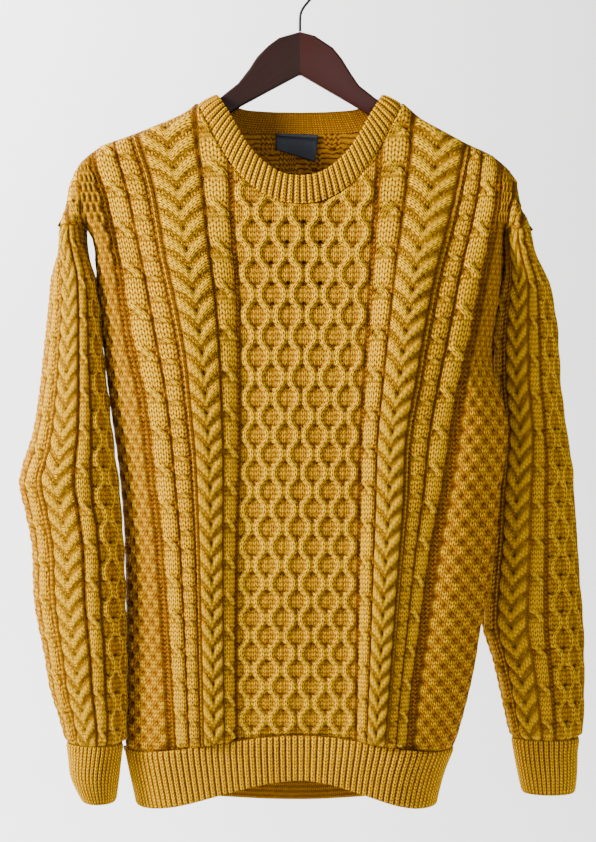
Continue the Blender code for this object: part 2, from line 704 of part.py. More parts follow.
def make_sleeve(name, side):
    """Sleeve from its seam at the arm down to the cuff."""
    mesh = bmesh.new()
    top = SLEEVE_SEAM_DOWN[side] + SEAM_GAP
    bottom = CUFF_SEAM_DOWN[side]
    columns = sleeve_columns()
    layers = {}
    for outer in (True, False):
        runs = []
        for number, (kind, index, turn) in enumerate(columns):
            if not outer and number % 2:
                continue
            steps = STEPS[kind]
            offsets = SLEEVE_TOP_ROWS if outer else SLEEVE_INNER_ROWS
            rows = [top + step for step in offsets] + [bottom]
            if outer:
                count = math.ceil(sleeve_repeat(top + 28.0) * steps)
                while sleeve_level(count / steps) < bottom - CLOSEST_ROWS:
                    rows.append(sleeve_level(count / steps))
                    count += 1
            rows = sorted(rows)
            angle = SLEEVE_HONEYCOMB_AT[side] + turn

            def point_at(level):
                if not outer:
                    return sleeve_inside(side, angle, level), 0.0
                at_end = level in (rows[0], rows[-1])
                height = stitch_height(kind, index, sleeve_repeat(level), steps)
                if kind == "honeycomb" and height == 0 and top + SLEEVE_BLEND < level < bottom - 2 * CELL_DROP:
                    level += CELL_DROP
                point = sleeve_section(side, angle, level)
                out = sleeve_out(side, angle, level, at_end)
                height *= fade(level, rows[0], rows[-1])
                towards_body = max(-side * math.sin(angle), 0.0)
                height *= 1 - towards_body * (1 - smooth((level - top - 30.0) / 60.0))
                return point + out * height, height

            runs.append((number, add_run(mesh, rows, point_at)))
        runs.append((len(columns), runs[0][1]))
        for (_, left), (_, right) in zip(runs, runs[1:]):
            zip_strip(mesh, left, right)
        layers[outer] = runs
    for end in (0, -1):
        rims = [[((number - 1) * 10.0 if number and not outer else number * 10.0, 0.0, run[end][2])
                 for number, run in layers[outer]] for outer in (True, False)]
        zip_strip(mesh, *rims)
    return finish_mesh(name, mesh)


def make_cuff(name, side):
    """Ribbed cuff under the sleeve."""
    count = CUFF_RIBS * 2
    top = CUFF_SEAM_DOWN[side] + SEAM_GAP
    levels = (top, CUFF_EDGE_DOWN)
    outer_rings = []
    inner_rings = []
    for row, down in enumerate(levels):
        for picked, rings, outer in ((range(count), outer_rings, True),
                                     (range(0, count, 2), inner_rings, False)):
            ring = []
            for k in picked:
                angle = math.tau * k / count
                point = sleeve_section(side, angle, down)
                out = sleeve_out(side, angle, down, row == 0)
                ring.append((k, point + out * (rib_height(k) if outer else -WALL)))
            rings.append(ring)
    return ring_solid(name, outer_rings, inner_rings)


def neck_corners(face):
    """Corner points of the panel's neckline, as (x, down), from -X to +X."""
    corners = []
    for column in body_columns():
        if column.zone == "arm":
            continue
        top = column_top(face, column, 240.0)
        if abs(column.place(top)) <= NECK_HALF + 25:
            corners.append((column.place(top), top))
    return corners


def make_neckband():
    """Ribbed band: sewn to the neckline below, leaning in at its top edge."""
    count = BAND_RIBS * 2
    corners = {face: np.array(neck_corners(face)) for face in (FRONT, BACK)}
    seam_points = []
    seam_outs = []
    top_points = []
    for k in range(count):
        turn = math.tau * k / count
        share = math.sin(turn)
        face = FRONT if math.cos(turn) > 0 else BACK
        x = share * (NECK_HALF - 1.0)
        corner = corners[face]
        on_neck = float(np.interp(x, corner[:, 0], corner[:, 1]))
        down = min(on_neck, neck_down[face](abs(x)))
        point, out = cloth(face, x, down)
        top_x = share * BAND_TOP[face]["out"][-1]
        top = Vector((top_x, point.y * BAND_LEAN, -(band_top_down[face](abs(top_x)) + DATUM_BELOW_RAIL)))
        rise = (top - point).normalized()
        at_shoulder = 1 - smooth(abs(math.cos(turn)) / BAND_CALM)
        seam_points.append(point + rise * (BAND_CLEAR + at_shoulder * BAND_SHOULDER_CLEAR))
        top_points.append(top)
        out -= rise * out.dot(rise)
        seam_outs.append(out.normalized())
    outer_rings = []
    inner_rings = []
    for share, swell in ((1.0, 0.0), (0.5, BAND_SWELL), (0.0, 0.0)):
        outer_ring = []
        inner_ring = []
        for k in range(count):
            turn = math.tau * k / count
            open_share = smooth(abs(math.cos(turn)) / BAND_CALM)
            base = seam_points[k].lerp(top_points[k], share) + seam_outs[k] * swell * open_share
            outer_ring.append((k, base + seam_outs[k] * rib_height(k) * open_share))
            if k % 2 == 0 or abs(math.cos(turn)) < BAND_CALM:
                inner_ring.append((k, base - seam_outs[k] * WALL))
        outer_rings.append(outer_ring)
        if swell == 0:
            inner_rings.append(inner_ring)
    return ring_solid("neckband", outer_rings, inner_rings)


def make_label():
    """Blank satin label inside the back neck, made from the back's own points, moved in."""
    mesh = bmesh.new()
    corners = [Vector((x, 0.0, down)) for x, down in LABEL_CORNERS]
    across = 6
    layers = []
    for clear in (LABEL_CLEAR, LABEL_CLEAR + LABEL_THICK):
        rows = []
        for edge in ((0, 1), (3, 2)):
            row = []
            for k in range(across + 1):
                spot = corners[edge[0]].lerp(corners[edge[1]], k / across)
                point, out = cloth(BACK, spot.x, spot.z)
                row.append((k * 10.0, 0.0, mesh.verts.new((point - out * (WALL + clear)) * MM)))
            rows.append(row)
        zip_strip(mesh, rows[0], rows[1])
        layers.append(rows)
    for k in (0, 1):
        zip_strip(mesh, layers[0][k], layers[1][k])
        sides = [[(0.0, 0.0, rows[0][-k][2]), (10.0, 0.0, rows[1][-k][2])] for rows in layers]
        zip_strip(mesh, *sides)
    return finish_mesh("label", mesh)


def hanger_outline():
    """Outline of the hanger as (x, down), clockwise: arms lie just under the shoulder seams."""
    tops = {}
    unders = {}
    for side in (-1, 1):
        arm = []
        for out, down in zip(SHOULDER[side]["out"], SHOULDER[side]["down"]):
            if 112 < out < HANGER_END_OUT:
                ahead = shoulder_out[side](down + 2) - shoulder_out[side](down - 2)
                slope = Vector((ahead, 4.0)).normalized()
                arm.append((out - slope.y * HANGER_SEAT, down + slope.x * HANGER_SEAT))
        arm.append((HANGER_END_OUT, arm[-1][1] + 9.0))
        tops[side] = [(side * out, down) for out, down in HANGER_TOP[side] + arm]
        lower = [(out - 6.0, down + HANGER_ARM_DEEP) for out, down in arm[:-1]]
        lower.append((HANGER_END_OUT - 3.0, arm[-1][1] + HANGER_ARM_DEEP * 0.6))
        unders[side] = [(side * out, down) for out, down in [HANGER_UNDER[side]] + lower]
    return tops[-1][::-1] + tops[1] + unders[1][::-1] + [HANGER_NOTCH] + unders[-1]


def make_hanger():
    """Flat wooden hanger with eased edges."""
    mesh = bmesh.new()
    outline = [mesh.verts.new((x * MM, -HANGER_HALF_THICK * MM, -(down + DATUM_BELOW_RAIL) * MM))
               for x, down in hanger_outline()]
    face = mesh.faces.new(outline)
    grown = bmesh.ops.extrude_face_region(mesh, geom=[face])
    moved = [item for item in grown["geom"] if isinstance(item, bmesh.types.BMVert)]
    bmesh.ops.translate(mesh, verts=moved, vec=(0, 2 * HANGER_HALF_THICK * MM, 0))
    hanger = finish_mesh("hanger", mesh)
    ease = hanger.modifiers.new("ease", "BEVEL")
    ease.width = HANGER_BEVEL * MM
    ease.segments = 1
    ease.limit_method = "ANGLE"
    ease.angle_limit = math.radians(50)
    return hanger


def make_hook():
    """Wire hook: a stem, a short bend and a round bow, drawn as one wire with flat ends."""
    points = list(HOOK_STEM)
    centre = HOOK_RADIUS - HOOK_WIRE - DATUM_BELOW_RAIL
    for degrees in range(-30, 196, 24):
        angle = math.radians(degrees)
        points.append((HOOK_RADIUS * math.cos(angle), centre - HOOK_RADIUS * math.sin(angle)))
    data = bpy.data.curves.new("hook", "CURVE")
    data.dimensions = "3D"
    data.bevel_depth = HOOK_WIRE * MM
    data.bevel_resolution = 2
    data.use_fill_caps = True
    spline = data.splines.new("POLY")
    spline.points.add(len(points) - 1)
    for spot, (x, down) in zip(spline.points, points):
        spot.co = (x * MM, 0.0, -(down + DATUM_BELOW_RAIL) * MM, 1.0)
    return bpy.data.objects.new("hook", data)


def material(name):
    """Principled material with this part's colour, roughness and metal."""
    made = bpy.data.materials.get(name)
    if made is None:
        made = bpy.data.materials.new(name)
        made.use_nodes = True
        made.diffuse_color = MATERIALS[name]["color"]
        shader = made.node_tree.nodes["Principled BSDF"]
        shader.inputs["Base Color"].default_value = MATERIALS[name]["color"]
        shader.inputs["Roughness"].default_value = MATERIALS[name]["roughness"]
        shader.inputs["Metallic"].default_value = MATERIALS[name]["metallic"]
    return made


def place(collection, made, finish):
    made.data.materials.append(material(finish))
    collection.objects.link(made)


def main():
    for leftover in list(bpy.data.objects):
        bpy.data.objects.remove(leftover, do_unlink=True)
    collection = bpy.data.collections.new("crewneck_sweater_on_hanger")
    bpy.context.scene.collection.children.link(collection)
    place(collection, make_panel("front", FRONT), "knit")
    place(collection, make_panel("back", BACK), "knit")
    place(collection, make_hem("hem_front", FRONT), "rib_knit")
    place(collection, make_hem("hem_back", BACK), "rib_knit")
    place(collection, make_sleeve("sleeve_wearer_right", -1), "knit")
    place(collection, make_sleeve("sleeve_wearer_left", 1), "knit")
    place(collection, make_cuff("cuff_wearer_right", -1), "rib_knit")
    place(collection, make_cuff("cuff_wearer_left", 1), "rib_knit")
    place(collection, make_neckband(), "rib_knit")
    place(collection, make_label(), "satin")
    place(collection, make_hanger(), "wood")
    place(collection, make_hook(), "wire")


main()
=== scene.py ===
# Cable-knit sweater on a wooden hanger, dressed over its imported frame.
# Tables are in millimetres: "down" from just above the shoulders, "out" from the middle.
import math

import bmesh
import bpy
import numpy as np
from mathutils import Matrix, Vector


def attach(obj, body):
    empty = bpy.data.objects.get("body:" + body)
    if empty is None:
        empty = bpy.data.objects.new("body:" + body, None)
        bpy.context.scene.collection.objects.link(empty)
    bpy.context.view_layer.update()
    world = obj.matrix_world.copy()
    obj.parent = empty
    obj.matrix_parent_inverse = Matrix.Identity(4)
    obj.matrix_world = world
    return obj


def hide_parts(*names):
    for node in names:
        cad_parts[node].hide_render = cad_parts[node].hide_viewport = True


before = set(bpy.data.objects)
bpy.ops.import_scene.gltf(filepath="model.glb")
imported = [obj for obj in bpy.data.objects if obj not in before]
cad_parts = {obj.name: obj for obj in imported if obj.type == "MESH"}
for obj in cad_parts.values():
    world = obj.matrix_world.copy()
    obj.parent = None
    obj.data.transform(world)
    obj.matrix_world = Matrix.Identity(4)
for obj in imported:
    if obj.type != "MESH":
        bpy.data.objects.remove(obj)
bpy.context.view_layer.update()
print("frame loaded")

mm = 0.001
front, back = -1, 1
datum = 58.5  # the datum level lies this far below the rail

shape = {
    "wall": 3.0,
    "gap": 0.3,
    "shoulderDown": {-1: [102, 113, 127, 137, 144, 154, 162, 177, 189, 200, 211, 228],
                     1: [102, 109, 118, 132, 143, 155, 166, 180, 193, 207, 221, 232]},
    "shoulderOut": {-1: [102, 116, 148, 173, 193, 209, 218, 226, 230, 232, 234.5, 239],
                    1: [102, 109.5, 120, 145, 165, 190, 204, 215, 218, 220, 226, 230]},
    "sleeveSeam": {-1: 228.0, 1: 232.0},
    "sideDown": {-1: [150, 200, 228, 240, 300, 350, 400, 470, 530, 600, 700, 742, 764, 787, 812],
                 1: [160, 200, 232, 261, 289, 329, 350, 366, 386, 410, 427, 467, 492, 536, 590,
                     626, 664, 704, 742, 770, 790, 812]},
    "sideOut": {-1: [219, 215.5, 213, 206, 201.5, 195.5, 189.5, 180, 175, 173, 173, 174, 170, 165,
                     160],
                1: [210, 207, 202, 201, 199, 193, 189.5, 191, 197, 204, 206.5, 203, 199, 195, 188,
                    180, 174, 165, 154, 143, 137.5, 133]},
    "gutterDown": [150, 240, 300, 440, 540, 640, 745],
    "gutterOut": {-1: [68, 64.5, 60, 59, 62, 63, 62], 1: [78, 71.5, 68, 59.5, 57.5, 56.5, 55]},
    "lineOneDown": {-1: [120, 145, 180, 225, 261, 300, 356, 409, 455, 500, 600, 745],
                    1: [120, 148, 177, 211, 240, 272, 310, 340, 381, 436, 498, 574, 680, 745]},
    "lineOneOut": {-1: [168, 162, 150, 140, 133, 124, 113, 107, 102.5, 100, 97, 94],
                   1: [172, 166, 160, 152, 144, 135, 127, 121, 114, 104, 101, 95, 87, 82]},
    "lineTwoDown": {-1: [140, 170, 200, 234, 270, 305, 350, 391, 436, 475, 521, 567, 641, 745],
                    1: [150, 176, 207, 240, 287, 350, 368, 406, 452, 498, 536, 574, 626, 680,
                        745]},
    "lineTwoOut": {-1: [210, 205, 195, 187, 179, 174, 166, 155.5, 149, 145, 138.5, 134.5, 129,
                        123],
                   1: [198, 198, 196, 190, 180, 167, 162, 154, 147, 139, 131, 125, 118, 110,
                       105]},
    "depthDown": [95, 130, 160, 200, 240, 300, 400, 500, 600, 700, 745, 812],
    "depth": {front: [15, 24, 33, 44, 54, 64, 73, 74, 72, 69, 65, 52],
              back: [15, 21, 28, 38, 48, 58, 67, 70, 70, 70, 69, 66]},
    "shoulderRound": ([95, 160, 228, 240], [22, 20, 13, 13]),
    "sideRound": ([95, 232, 262, 300, 400, 745], [13, 13, 24, 38, 48, 56]),
    "neckHalf": 102.0,
    "neckOut": {front: [0, 16, 32, 45, 58, 70, 81, 90, 97, 102],
                back: [0, 40, 60, 75, 88, 97, 102]},
    "neckDown": {front: [207.5, 206, 200, 192, 180, 165, 147, 129, 115, 103.5],
                 back: [131.5, 131, 129, 124, 116, 109, 103.5]},
    "hemSeam": {front: (727.0, 745.0), back: (752.0, 745.0)},
    "hemEdge": {front: (772.0, 803.0), back: (809.0, 803.0)},
    "repeatDown": [75, 116, 399, 579, 647, 711, 850],
    "repeatCount": [-4, -3, 4, 9, 11, 13, 17.3],
}


def smooth(t):
    t = np.clip(t, 0.0, 1.0)
    return t * t * (3 - 2 * t)


def limited(slope, rise):
    return np.where(slope * rise <= 0, 0.0,
                    np.sign(slope) * np.minimum(np.abs(slope), 2.5 * np.abs(rise)))


def reader(keys, values):  # smooth curve through the rows of a table
    keys, values = np.array(keys, float), np.array(values, float)
    slopes, span, rise = np.gradient(values, keys), np.diff(keys), np.diff(values)
    start, end = limited(slopes[:-1] * span, rise), limited(slopes[1:] * span, rise)

    def read(where):
        where = np.clip(where, keys[0], keys[-1])
        k = np.clip(np.searchsorted(keys, where, side="right") - 1, 0, len(keys) - 2)
        t = (where - keys[k]) / span[k]
        return (values[k] + t * t * (3 - 2 * t) * rise[k] + t * (1 - t) ** 2 * start[k]
                - t * t * (1 - t) * end[k])

    return read


shoulderOut = {s: reader(shape["shoulderDown"][s], shape["shoulderOut"][s]) for s in (-1, 1)}
sideOut = {s: reader(shape["sideDown"][s], shape["sideOut"][s]) for s in (-1, 1)}
gutterOut = {s: reader(shape["gutterDown"], shape["gutterOut"][s]) for s in (-1, 1)}
lineOneOut = {s: reader(shape["lineOneDown"][s], shape["lineOneOut"][s]) for s in (-1, 1)}
lineTwoOut = {s: reader(shape["lineTwoDown"][s], shape["lineTwoOut"][s]) for s in (-1, 1)}
halfDepth = {f: reader(shape["depthDown"], shape["depth"][f]) for f in (front, back)}
shoulderRound = reader(*shape["shoulderRound"])
sideRound = reader(*shape["sideRound"])
neckDown = {f: reader(shape["neckOut"][f], shape["neckDown"][f]) for f in (front, back)}


def repeatAt(down):
    return np.interp(down, shape["repeatDown"], shape["repeatCount"])


def outlineRuns(reads, ends):  # the silhouette on both sides as short straight runs
    runs = []
    for side in (-1, 1):
        top, bottom = ends(side)
        levels = np.linspace(top, bottom, max(int((bottom - top) / 4), 2))
        points = np.stack([side * reads[side](levels), levels], axis=1)
        runs.append(np.hstack([points[:-1], points[1:]]))
    return np.vstack(runs)


shoulderRuns = outlineRuns(shoulderOut, lambda side: (102.0, shape["sleeveSeam"][side]))
sideRuns = outlineRuns(sideOut, lambda side: (shape["sleeveSeam"][side], 812.0))


def outlineDistance(runs, x, down):
    flatX, flatDown = np.ravel(x), np.ravel(down)
    nearest = np.full(flatX.shape, 1e9)
    for startX, startDown, endX, endDown in runs:
        alongX, alongDown = endX - startX, endDown - startDown
        t = ((flatX - startX) * alongX + (flatDown - startDown) * alongDown)
        t = np.clip(t / (alongX ** 2 + alongDown ** 2), 0, 1)
        away = np.hypot(flatX - startX - t * alongX, flatDown - startDown - t * alongDown)
        nearest = np.minimum(nearest, away)
    return nearest.reshape(np.shape(x))


def roundEdge(distance, width):
    return np.sqrt(1 - (1 - np.minimum(distance / width, 1.0)) ** 2)


def clothPoints(face, x, down, lift=0.0):  # plain outer face of the body, in millimetres
    x, down = np.broadcast_arrays(np.asarray(x, float), np.asarray(down, float))
    rise = roundEdge(outlineDistance(shoulderRuns, x, down), shoulderRound(down))
    rise = rise * roundEdge(outlineDistance(sideRuns, x, down), sideRound(down))
    y = np.maximum(halfDepth[face](down) * rise + lift * rise ** 2, shape["gap"] / 2)
    return np.stack([x, face * y, -(down + datum)], axis=-1)


def unit(out):
    return out / np.maximum(np.linalg.norm(out, axis=-1, keepdims=True), 1e-9)


def gridNormals(points, flip):
    return unit(np.cross(np.gradient(points, axis=0), np.gradient(points, axis=1)) * flip)


def ringNormals(points, axes=3):  # they point away from the middle of each ring
    across = np.roll(points, -1, axis=1) - np.roll(points, 1, axis=1)
    out = unit(np.cross(across, np.gradient(points, axis=0)))
    away = (points - points.mean(axis=1, keepdims=True)) * out
    return -out if float(away[..., :axes].sum()) < 0 else out


def lengthsAlong(line):
    return np.concatenate([[0], np.cumsum(np.linalg.norm(np.diff(line, axis=0), axis=1))])


# Stitches. Each returns height 0 to 1, place across and along the strand in stitches and
# rows, and how much painted shade lies in its holes, grooves and slits.
relief = {"honeycomb": 4.6, "rope": 5.4, "vee": 5.0, "thinRope": 4.4, "line": 2.6, "moss": 3.2}
rowsInRepeat = 8.0
stitchWide = 4.2


ropeForm = {"level": 0.72, "under": 0.30, "over": 1.0, "turnFrom": 0.28, "turnLong": 0.44,
            "moveFrom": 0.32, "moveLong": 0.34, "bulge": 0.14, "swing": 0.46, "strand": 0.50,
            "slitShade": 0.45}
veeForm = {"arm": 0.72, "low": 0.42, "slant": 0.44, "bend": 0.42, "grooveAt": 0.80,
           "grooveShade": 0.40, "holeAt": 0.78, "gapShade": 0.9}


def ropeStitch(u, v, stitches, rows):
    # One fat body of plain stitches, whose left half crosses over its right half each repeat
    share = v - np.floor(v)
    turn = np.sin(math.pi * np.clip((share - ropeForm["turnFrom"]) / ropeForm["turnLong"], 0, 1))
    moved = smooth((share - ropeForm["moveFrom"]) / ropeForm["moveLong"])
    bulge = 1 - ropeForm["bulge"] + ropeForm["bulge"] * np.cos(math.tau * (share - 0.02))
    level = ropeForm["level"]
    height = level * np.sqrt(np.clip(1 - (u / bulge) ** 2, 0, 1)) ** 0.7 * (1 - turn)
    across = (u + 1) / 2 * stitches
    # painted shade: a dark line along the slit beside the strand that crosses over
    slitShade = np.zeros(np.shape(u))
    for over, crossing in ((-1.0, ropeForm["under"]), (1.0, ropeForm["over"])):
        off = (u + ropeForm["swing"] * over * (1 - 2 * moved)) / ropeForm["strand"]
        h = (level + (crossing - level) * turn) * np.sqrt(np.clip(1 - off ** 2, 0, 1)) ** 0.8
        take = (h > height) & (turn > 0.01)
        height = np.where(take, h, height)
        across = np.where(take, (off + 2 - over) / 4 * stitches, across)
        if over > 0:
            slitShade = turn * np.exp(-((np.abs(off) - 1.08) / 0.12) ** 2) * (np.abs(u) < 0.9)
    return np.clip(height, 0, 1), across, v * rows, slitShade * ropeForm["slitShade"]


def veeStitch(u, v):
    # Arms lie like roof tiles and run down to the middle, with a small hole below each pair
    w = np.abs(u)
    slant = v - veeForm["slant"] * (1 - w) - veeForm["bend"] * (1 - w) ** 2
    t = slant - np.floor(slant)
    arm = t < veeForm["arm"]
    dome = np.sin(math.pi * np.clip(t / veeForm["arm"], 0, 1)) ** 0.7
    ridge = veeForm["low"] + (1 - veeForm["low"]) * dome
    edge = np.sqrt(np.clip(1 - (np.clip(w - 0.55, 0, 1) / 0.45) ** 3, 0, 1))
    middle = 0.74 + 0.26 * smooth(w / 0.20)
    # painted shade: a dark spot in the small hole below each pair and a dark line in the groove under
    # each arm
    atCentre = (v - veeForm["holeAt"]) - np.round(v - veeForm["holeAt"])
    gapShade = np.exp(-(w / 0.13) ** 2 - (atCentre / 0.12) ** 2)
    grooveShade = veeForm["grooveShade"] * np.exp(-((t - veeForm["grooveAt"]) / 0.08) ** 2)
    across = np.where(arm, t * 4.0, u * 4.0 + 0.5)
    along = np.where(arm, w * 5.0, v * 4.0)
    return ridge * edge * middle, across, along, np.maximum(gapShade * veeForm["gapShade"], grooveShade)


def honeycombStitch(s, v, cells):
    wave = np.tanh(1.25 * np.cos(2 * math.pi * v)) / math.tanh(1.25)
    height = np.zeros(np.shape(s))
    across = s - np.floor(s / 4) * 4
    for strand in range(cells * 2):
        centre = 4 * strand + 2 - (-1) ** strand * wave
        off = (s - centre) / 1.15
        h = np.sqrt(np.clip(1 - off ** 2, 0, 1))
        take = h > height
        height = np.where(take, h, height)
        across = np.where(take, off + 1.0, across)
    column = np.round((s - 4) / 8)
    full = ((s - 4 - 8 * column) / 2.2, v - np.round(v))
    columnB = np.round(s / 8)
    half = ((s - 8 * columnB) / 2.2, v - 0.5 - np.round(v - 0.5))
    dome = np.zeros(np.shape(s))
    # painted shade: a dark spot in the hole at the bottom of each cell and a fainter one at its top
    gapShade = np.zeros(np.shape(s))
    for cellX, cellV in (full, half):
        dome = np.maximum(dome, np.sqrt(np.clip(1 - cellX ** 2 - (cellV / 0.24) ** 2, 0, 1)))
        gapShade = np.maximum(gapShade, np.exp(-(cellX / 0.28) ** 2 - ((cellV - 0.21) / 0.055) ** 2))
        gapShade = np.maximum(gapShade, 0.6 * np.exp(-(cellX / 0.22) ** 2 - ((cellV + 0.25) / 0.04) ** 2))
    return np.maximum(height, 0.08 + 0.40 * dome), across, v * rowsInRepeat, gapShade


def mossStitch(a, b):
    # Small blocks of plain stitches, set like bricks between sunk purl ones
    check = np.sin(math.pi * a / 2) * np.sin(math.pi * b / 2)
    return 0.5 + 0.5 * np.tanh(1.9 * check + 0.35), a, b, np.zeros(np.shape(a))


def lineStitch(u, b):
    return np.sqrt(np.clip(1 - u ** 2, 0, 1)), (u + 1) / 2, b, np.zeros(np.shape(u))


def layStrip(sections, place, count, across):
    # Sections lie side by side: kind, start, end, and a shift, or stitches or cells for moss
    # and honeycomb. What lies between them is purl.
    height = np.zeros(np.shape(place))
    along = count * rowsInRepeat
    uv = np.stack([np.broadcast_to(across, np.shape(place)), along], axis=-1)
    gapShade = np.zeros(np.shape(place))
    purl = np.ones(np.shape(place))
    for kind, start, end, offset in sections:
        u = (place - start) / (end - start) * 2 - 1
        inside = np.abs(u) < 1
        if kind == "rope":
            h, a, b, dark = ropeStitch(u, count + offset, 4, 8)
        elif kind == "thinRope":
            h, a, b, dark = ropeStitch(u, count * 2 + offset, 3, 4)
        elif kind == "vee":
            h, a, b, dark = veeStitch(u, count * 2 + offset)
        elif kind == "line":
            h, a, b, dark = lineStitch(u, along)
        elif kind == "moss":
            h, a, b, dark = mossStitch((u + 1) / 2 * offset, along)
        else:
            h, a, b, dark = honeycombStitch((u + 1) / 2 * offset * 8, count, offset)
        height = np.where(inside, h * relief[kind], height)
        uv = np.where(inside[..., None], np.stack([a, b], axis=-1), uv)
        gapShade = np.where(inside, dark, gapShade)
        purl = np.where(inside, np.clip(0.8 - h, 0, 1) if kind == "moss" else 0.0, purl)
    return height, uv, gapShade, purl


# Body columns: between the gutter and line one, between the two lines, and out to the side
bodySections = {
    "inner": [("rope", 0.03, 0.35, 0.1), ("vee", 0.375, 0.955, 0.0)],
    "outer": [("line", -0.05, 0.055, 0), ("thinRope", 0.10, 0.45, 0.3), ("rope", 0.48, 0.90, 0.6),
              ("line", 0.945, 1.05, 0)],
    "side": [("moss", 0.10, 1.0, 14)],
    "middle": [("honeycomb", 0.015, 0.985, 4)],
    "arm": [("honeycomb", 0.0, 0.5, 1), ("rope", 0.54, 1.0, 0.2)],
}
panelGrid = {"middle": 64, "inner": 36, "outer": 36, "side": 24, "arm": 12, "rows": 336,
             "knee": 68, "ratio": 4, "cluster": 0.02}
foldPlaces = {
    "middle": ([0, 0.5, 1], [-5, -5, -5]),
    "inner": ([0, 0.12, 0.26, 0.355, 0.52, 0.79, 0.94, 1], [-4, -2, 1, 2, 4, 5, 4, 3]),
    "outer": ([0, 0.07, 0.27, 0.46, 0.59, 0.79, 1], [3, 2, 1, -1, -2, -4, -6]),
    "side": ([0, 0.12, 0.5, 0.8, 1], [-6, -5, -2, -1, 0]),
    "arm": ([0, 1], [0, 0]),
}
# Larger, uneven folds: face, x, down, how wide, how tall, lift, lean of the fold
folds = [
    (front, 105, 330, 26, 150, 3.5, -0.10), (front, -118, 300, 24, 120, 2.5, 0.12),
    (front, -60, 560, 22, 150, -2.5, 0.0), (front, 70, 640, 20, 110, 3.0, -0.10),
    (front, 150, 250, 16, 60, -3.0, -0.5), (front, -170, 240, 14, 60, -3.5, 0.5),
    (front, 30, 240, 30, 40, -2.5, 0.0), (front, -20, 680, 45, 60, 2.5, 0.0),
    (front, -110, 660, 18, 90, 2.5, 0.05), (front, 120, 560, 14, 100, -2.5, -0.15),
    (back, 80, 300, 24, 140, 3.0, -0.1), (back, -90, 420, 26, 160, 3.0, 0.1),
    (back, 0, 620, 30, 120, -3.0, 0.05), (back, 140, 600, 18, 110, 2.5, -0.1),
    (back, -150, 250, 16, 70, -3.0, 0.4), (back, 150, 260, 16, 70, -3.0, -0.4),
]


def foldLift(face, x, down, steady):
    lift = steady * smooth((down - 190) / 90.0)
    for side, atX, atDown, wide, tall, height, lean in folds:
        if side == face:
            off = (x - atX - lean * (down - atDown)) / wide
            lift = lift + height * np.exp(-off ** 2 - ((down - atDown) / tall) ** 2)
    return lift


def columnList(step):  # every column of a panel from -X to +X: zone, side, place in the zone
    halves = {}
    for side in (-1, 1):
        half = []
        for zone in ("inner", "outer", "side"):
            count = panelGrid[zone] // step
            for k in range(count):
                share = k / count
                half.append((zone, side, 1 - (1 - share) ** 1.8 if zone == "side" else share))
        half.append(("side", side, 1.0))
        halves[side] = half
    count = panelGrid["middle"] // step
    middle = [("middle", 0, k / count) for k in range(1, count)]
    return halves[-1][::-1] + middle + halves[1]


def columnX(zone, side, share, down):
    if zone == "middle":
        left, right = -gutterOut[-1](down), gutterOut[1](down)
        return left + share * (right - left)
    stops = {"inner": (gutterOut, lineOneOut), "outer": (lineOneOut, lineTwoOut),
             "side": (lineTwoOut, sideOut)}
    start, end = (reads[side](down) for reads in stops[zone])
    return side * (start + share * (end - start))


def topOf(face, xAt, low):  # highest level of a column, at the neckline or the shoulder
    for step in (1.0, 0.01):
        levels = low - step * np.arange(1, 220)
        x = xAt(levels)
        out = np.abs(x)
        past = out >= np.where(x < 0, shoulderOut[-1](levels), shoulderOut[1](levels))
        past |= (out < shape["neckHalf"]) & (levels < neckDown[face](out)) | (levels <= 102.0)
        low -= step * int(past.argmax())
    return low


def hemLevel(levels, x):
    side = np.where(np.asarray(x) < 0, sideOut[-1](770.0), sideOut[1](770.0))
    return levels[0] + (levels[1] - levels[0]) * smooth(np.abs(x) / side)


def panelLayer(face, outer):
    # Points of one layer as a main grid and two arm grids, with their stitches
    step = 1 if outer else panelGrid["ratio"]
    rows, knee = panelGrid["rows"] // step, panelGrid["knee"] // step
    t = np.arange(rows + 1) / rows
    eased = t - panelGrid["cluster"] * (1 - np.exp(-t / panelGrid["cluster"]))
    eased /= eased[-1]
    columns = columnList(step)
    down = np.zeros((rows + 1, len(columns)))
    x = np.zeros_like(down)
    for c, (zone, side, share) in enumerate(columns):
        top = topOf(face, lambda d: columnX(zone, side, share, d), 240.0)
        bottom = float(hemLevel(shape["hemSeam"][face], columnX(zone, side, share, 745.0)))
        even = top + (bottom - top) * eased[knee]
        turn = {"middle": 0.0, "inner": 0.0, "outer": share * 0.6,
                "side": 0.6 + 0.4 * share}[zone]
        at = even + (shape["sleeveSeam"][side or 1] - even) * float(smooth(turn))
        down[:knee + 1, c] = top + (at - top) * eased[:knee + 1] / eased[knee]
        below = (t[knee:] - t[knee]) / (1 - t[knee])
        down[knee:, c] = at + (bottom - at) * below
        x[:, c] = columnX(zone, side, share, down[:, c])
    grids = {0: (x, down, columns)}
    for side in (-1, 1):
        edge = -1 if side > 0 else 0
        seam = shape["sleeveSeam"][side]
        reach = shape["shoulderOut"][side][-1] - sideOut[side](seam)
        count = panelGrid["arm"] // step
        armX = np.zeros((knee + 1, count + 1))
        armDown = np.zeros_like(armX)
        armX[:, 0], armDown[:, 0] = x[:knee + 1, edge], down[:knee + 1, edge]
        for k in range(1, count + 1):
            move = reach * k / count

            def placed(d):
                return side * (sideOut[side](d) + move)

            top = topOf(face, placed, seam) if k < count else seam - 0.4
            armDown[:, k] = top + (seam - top) * eased[:knee + 1] / eased[knee]
            armX[:, k] = placed(armDown[:, k])
        grids[side] = (armX, armDown, [("arm", side, k / count) for k in range(count + 1)])
    return grids, knee


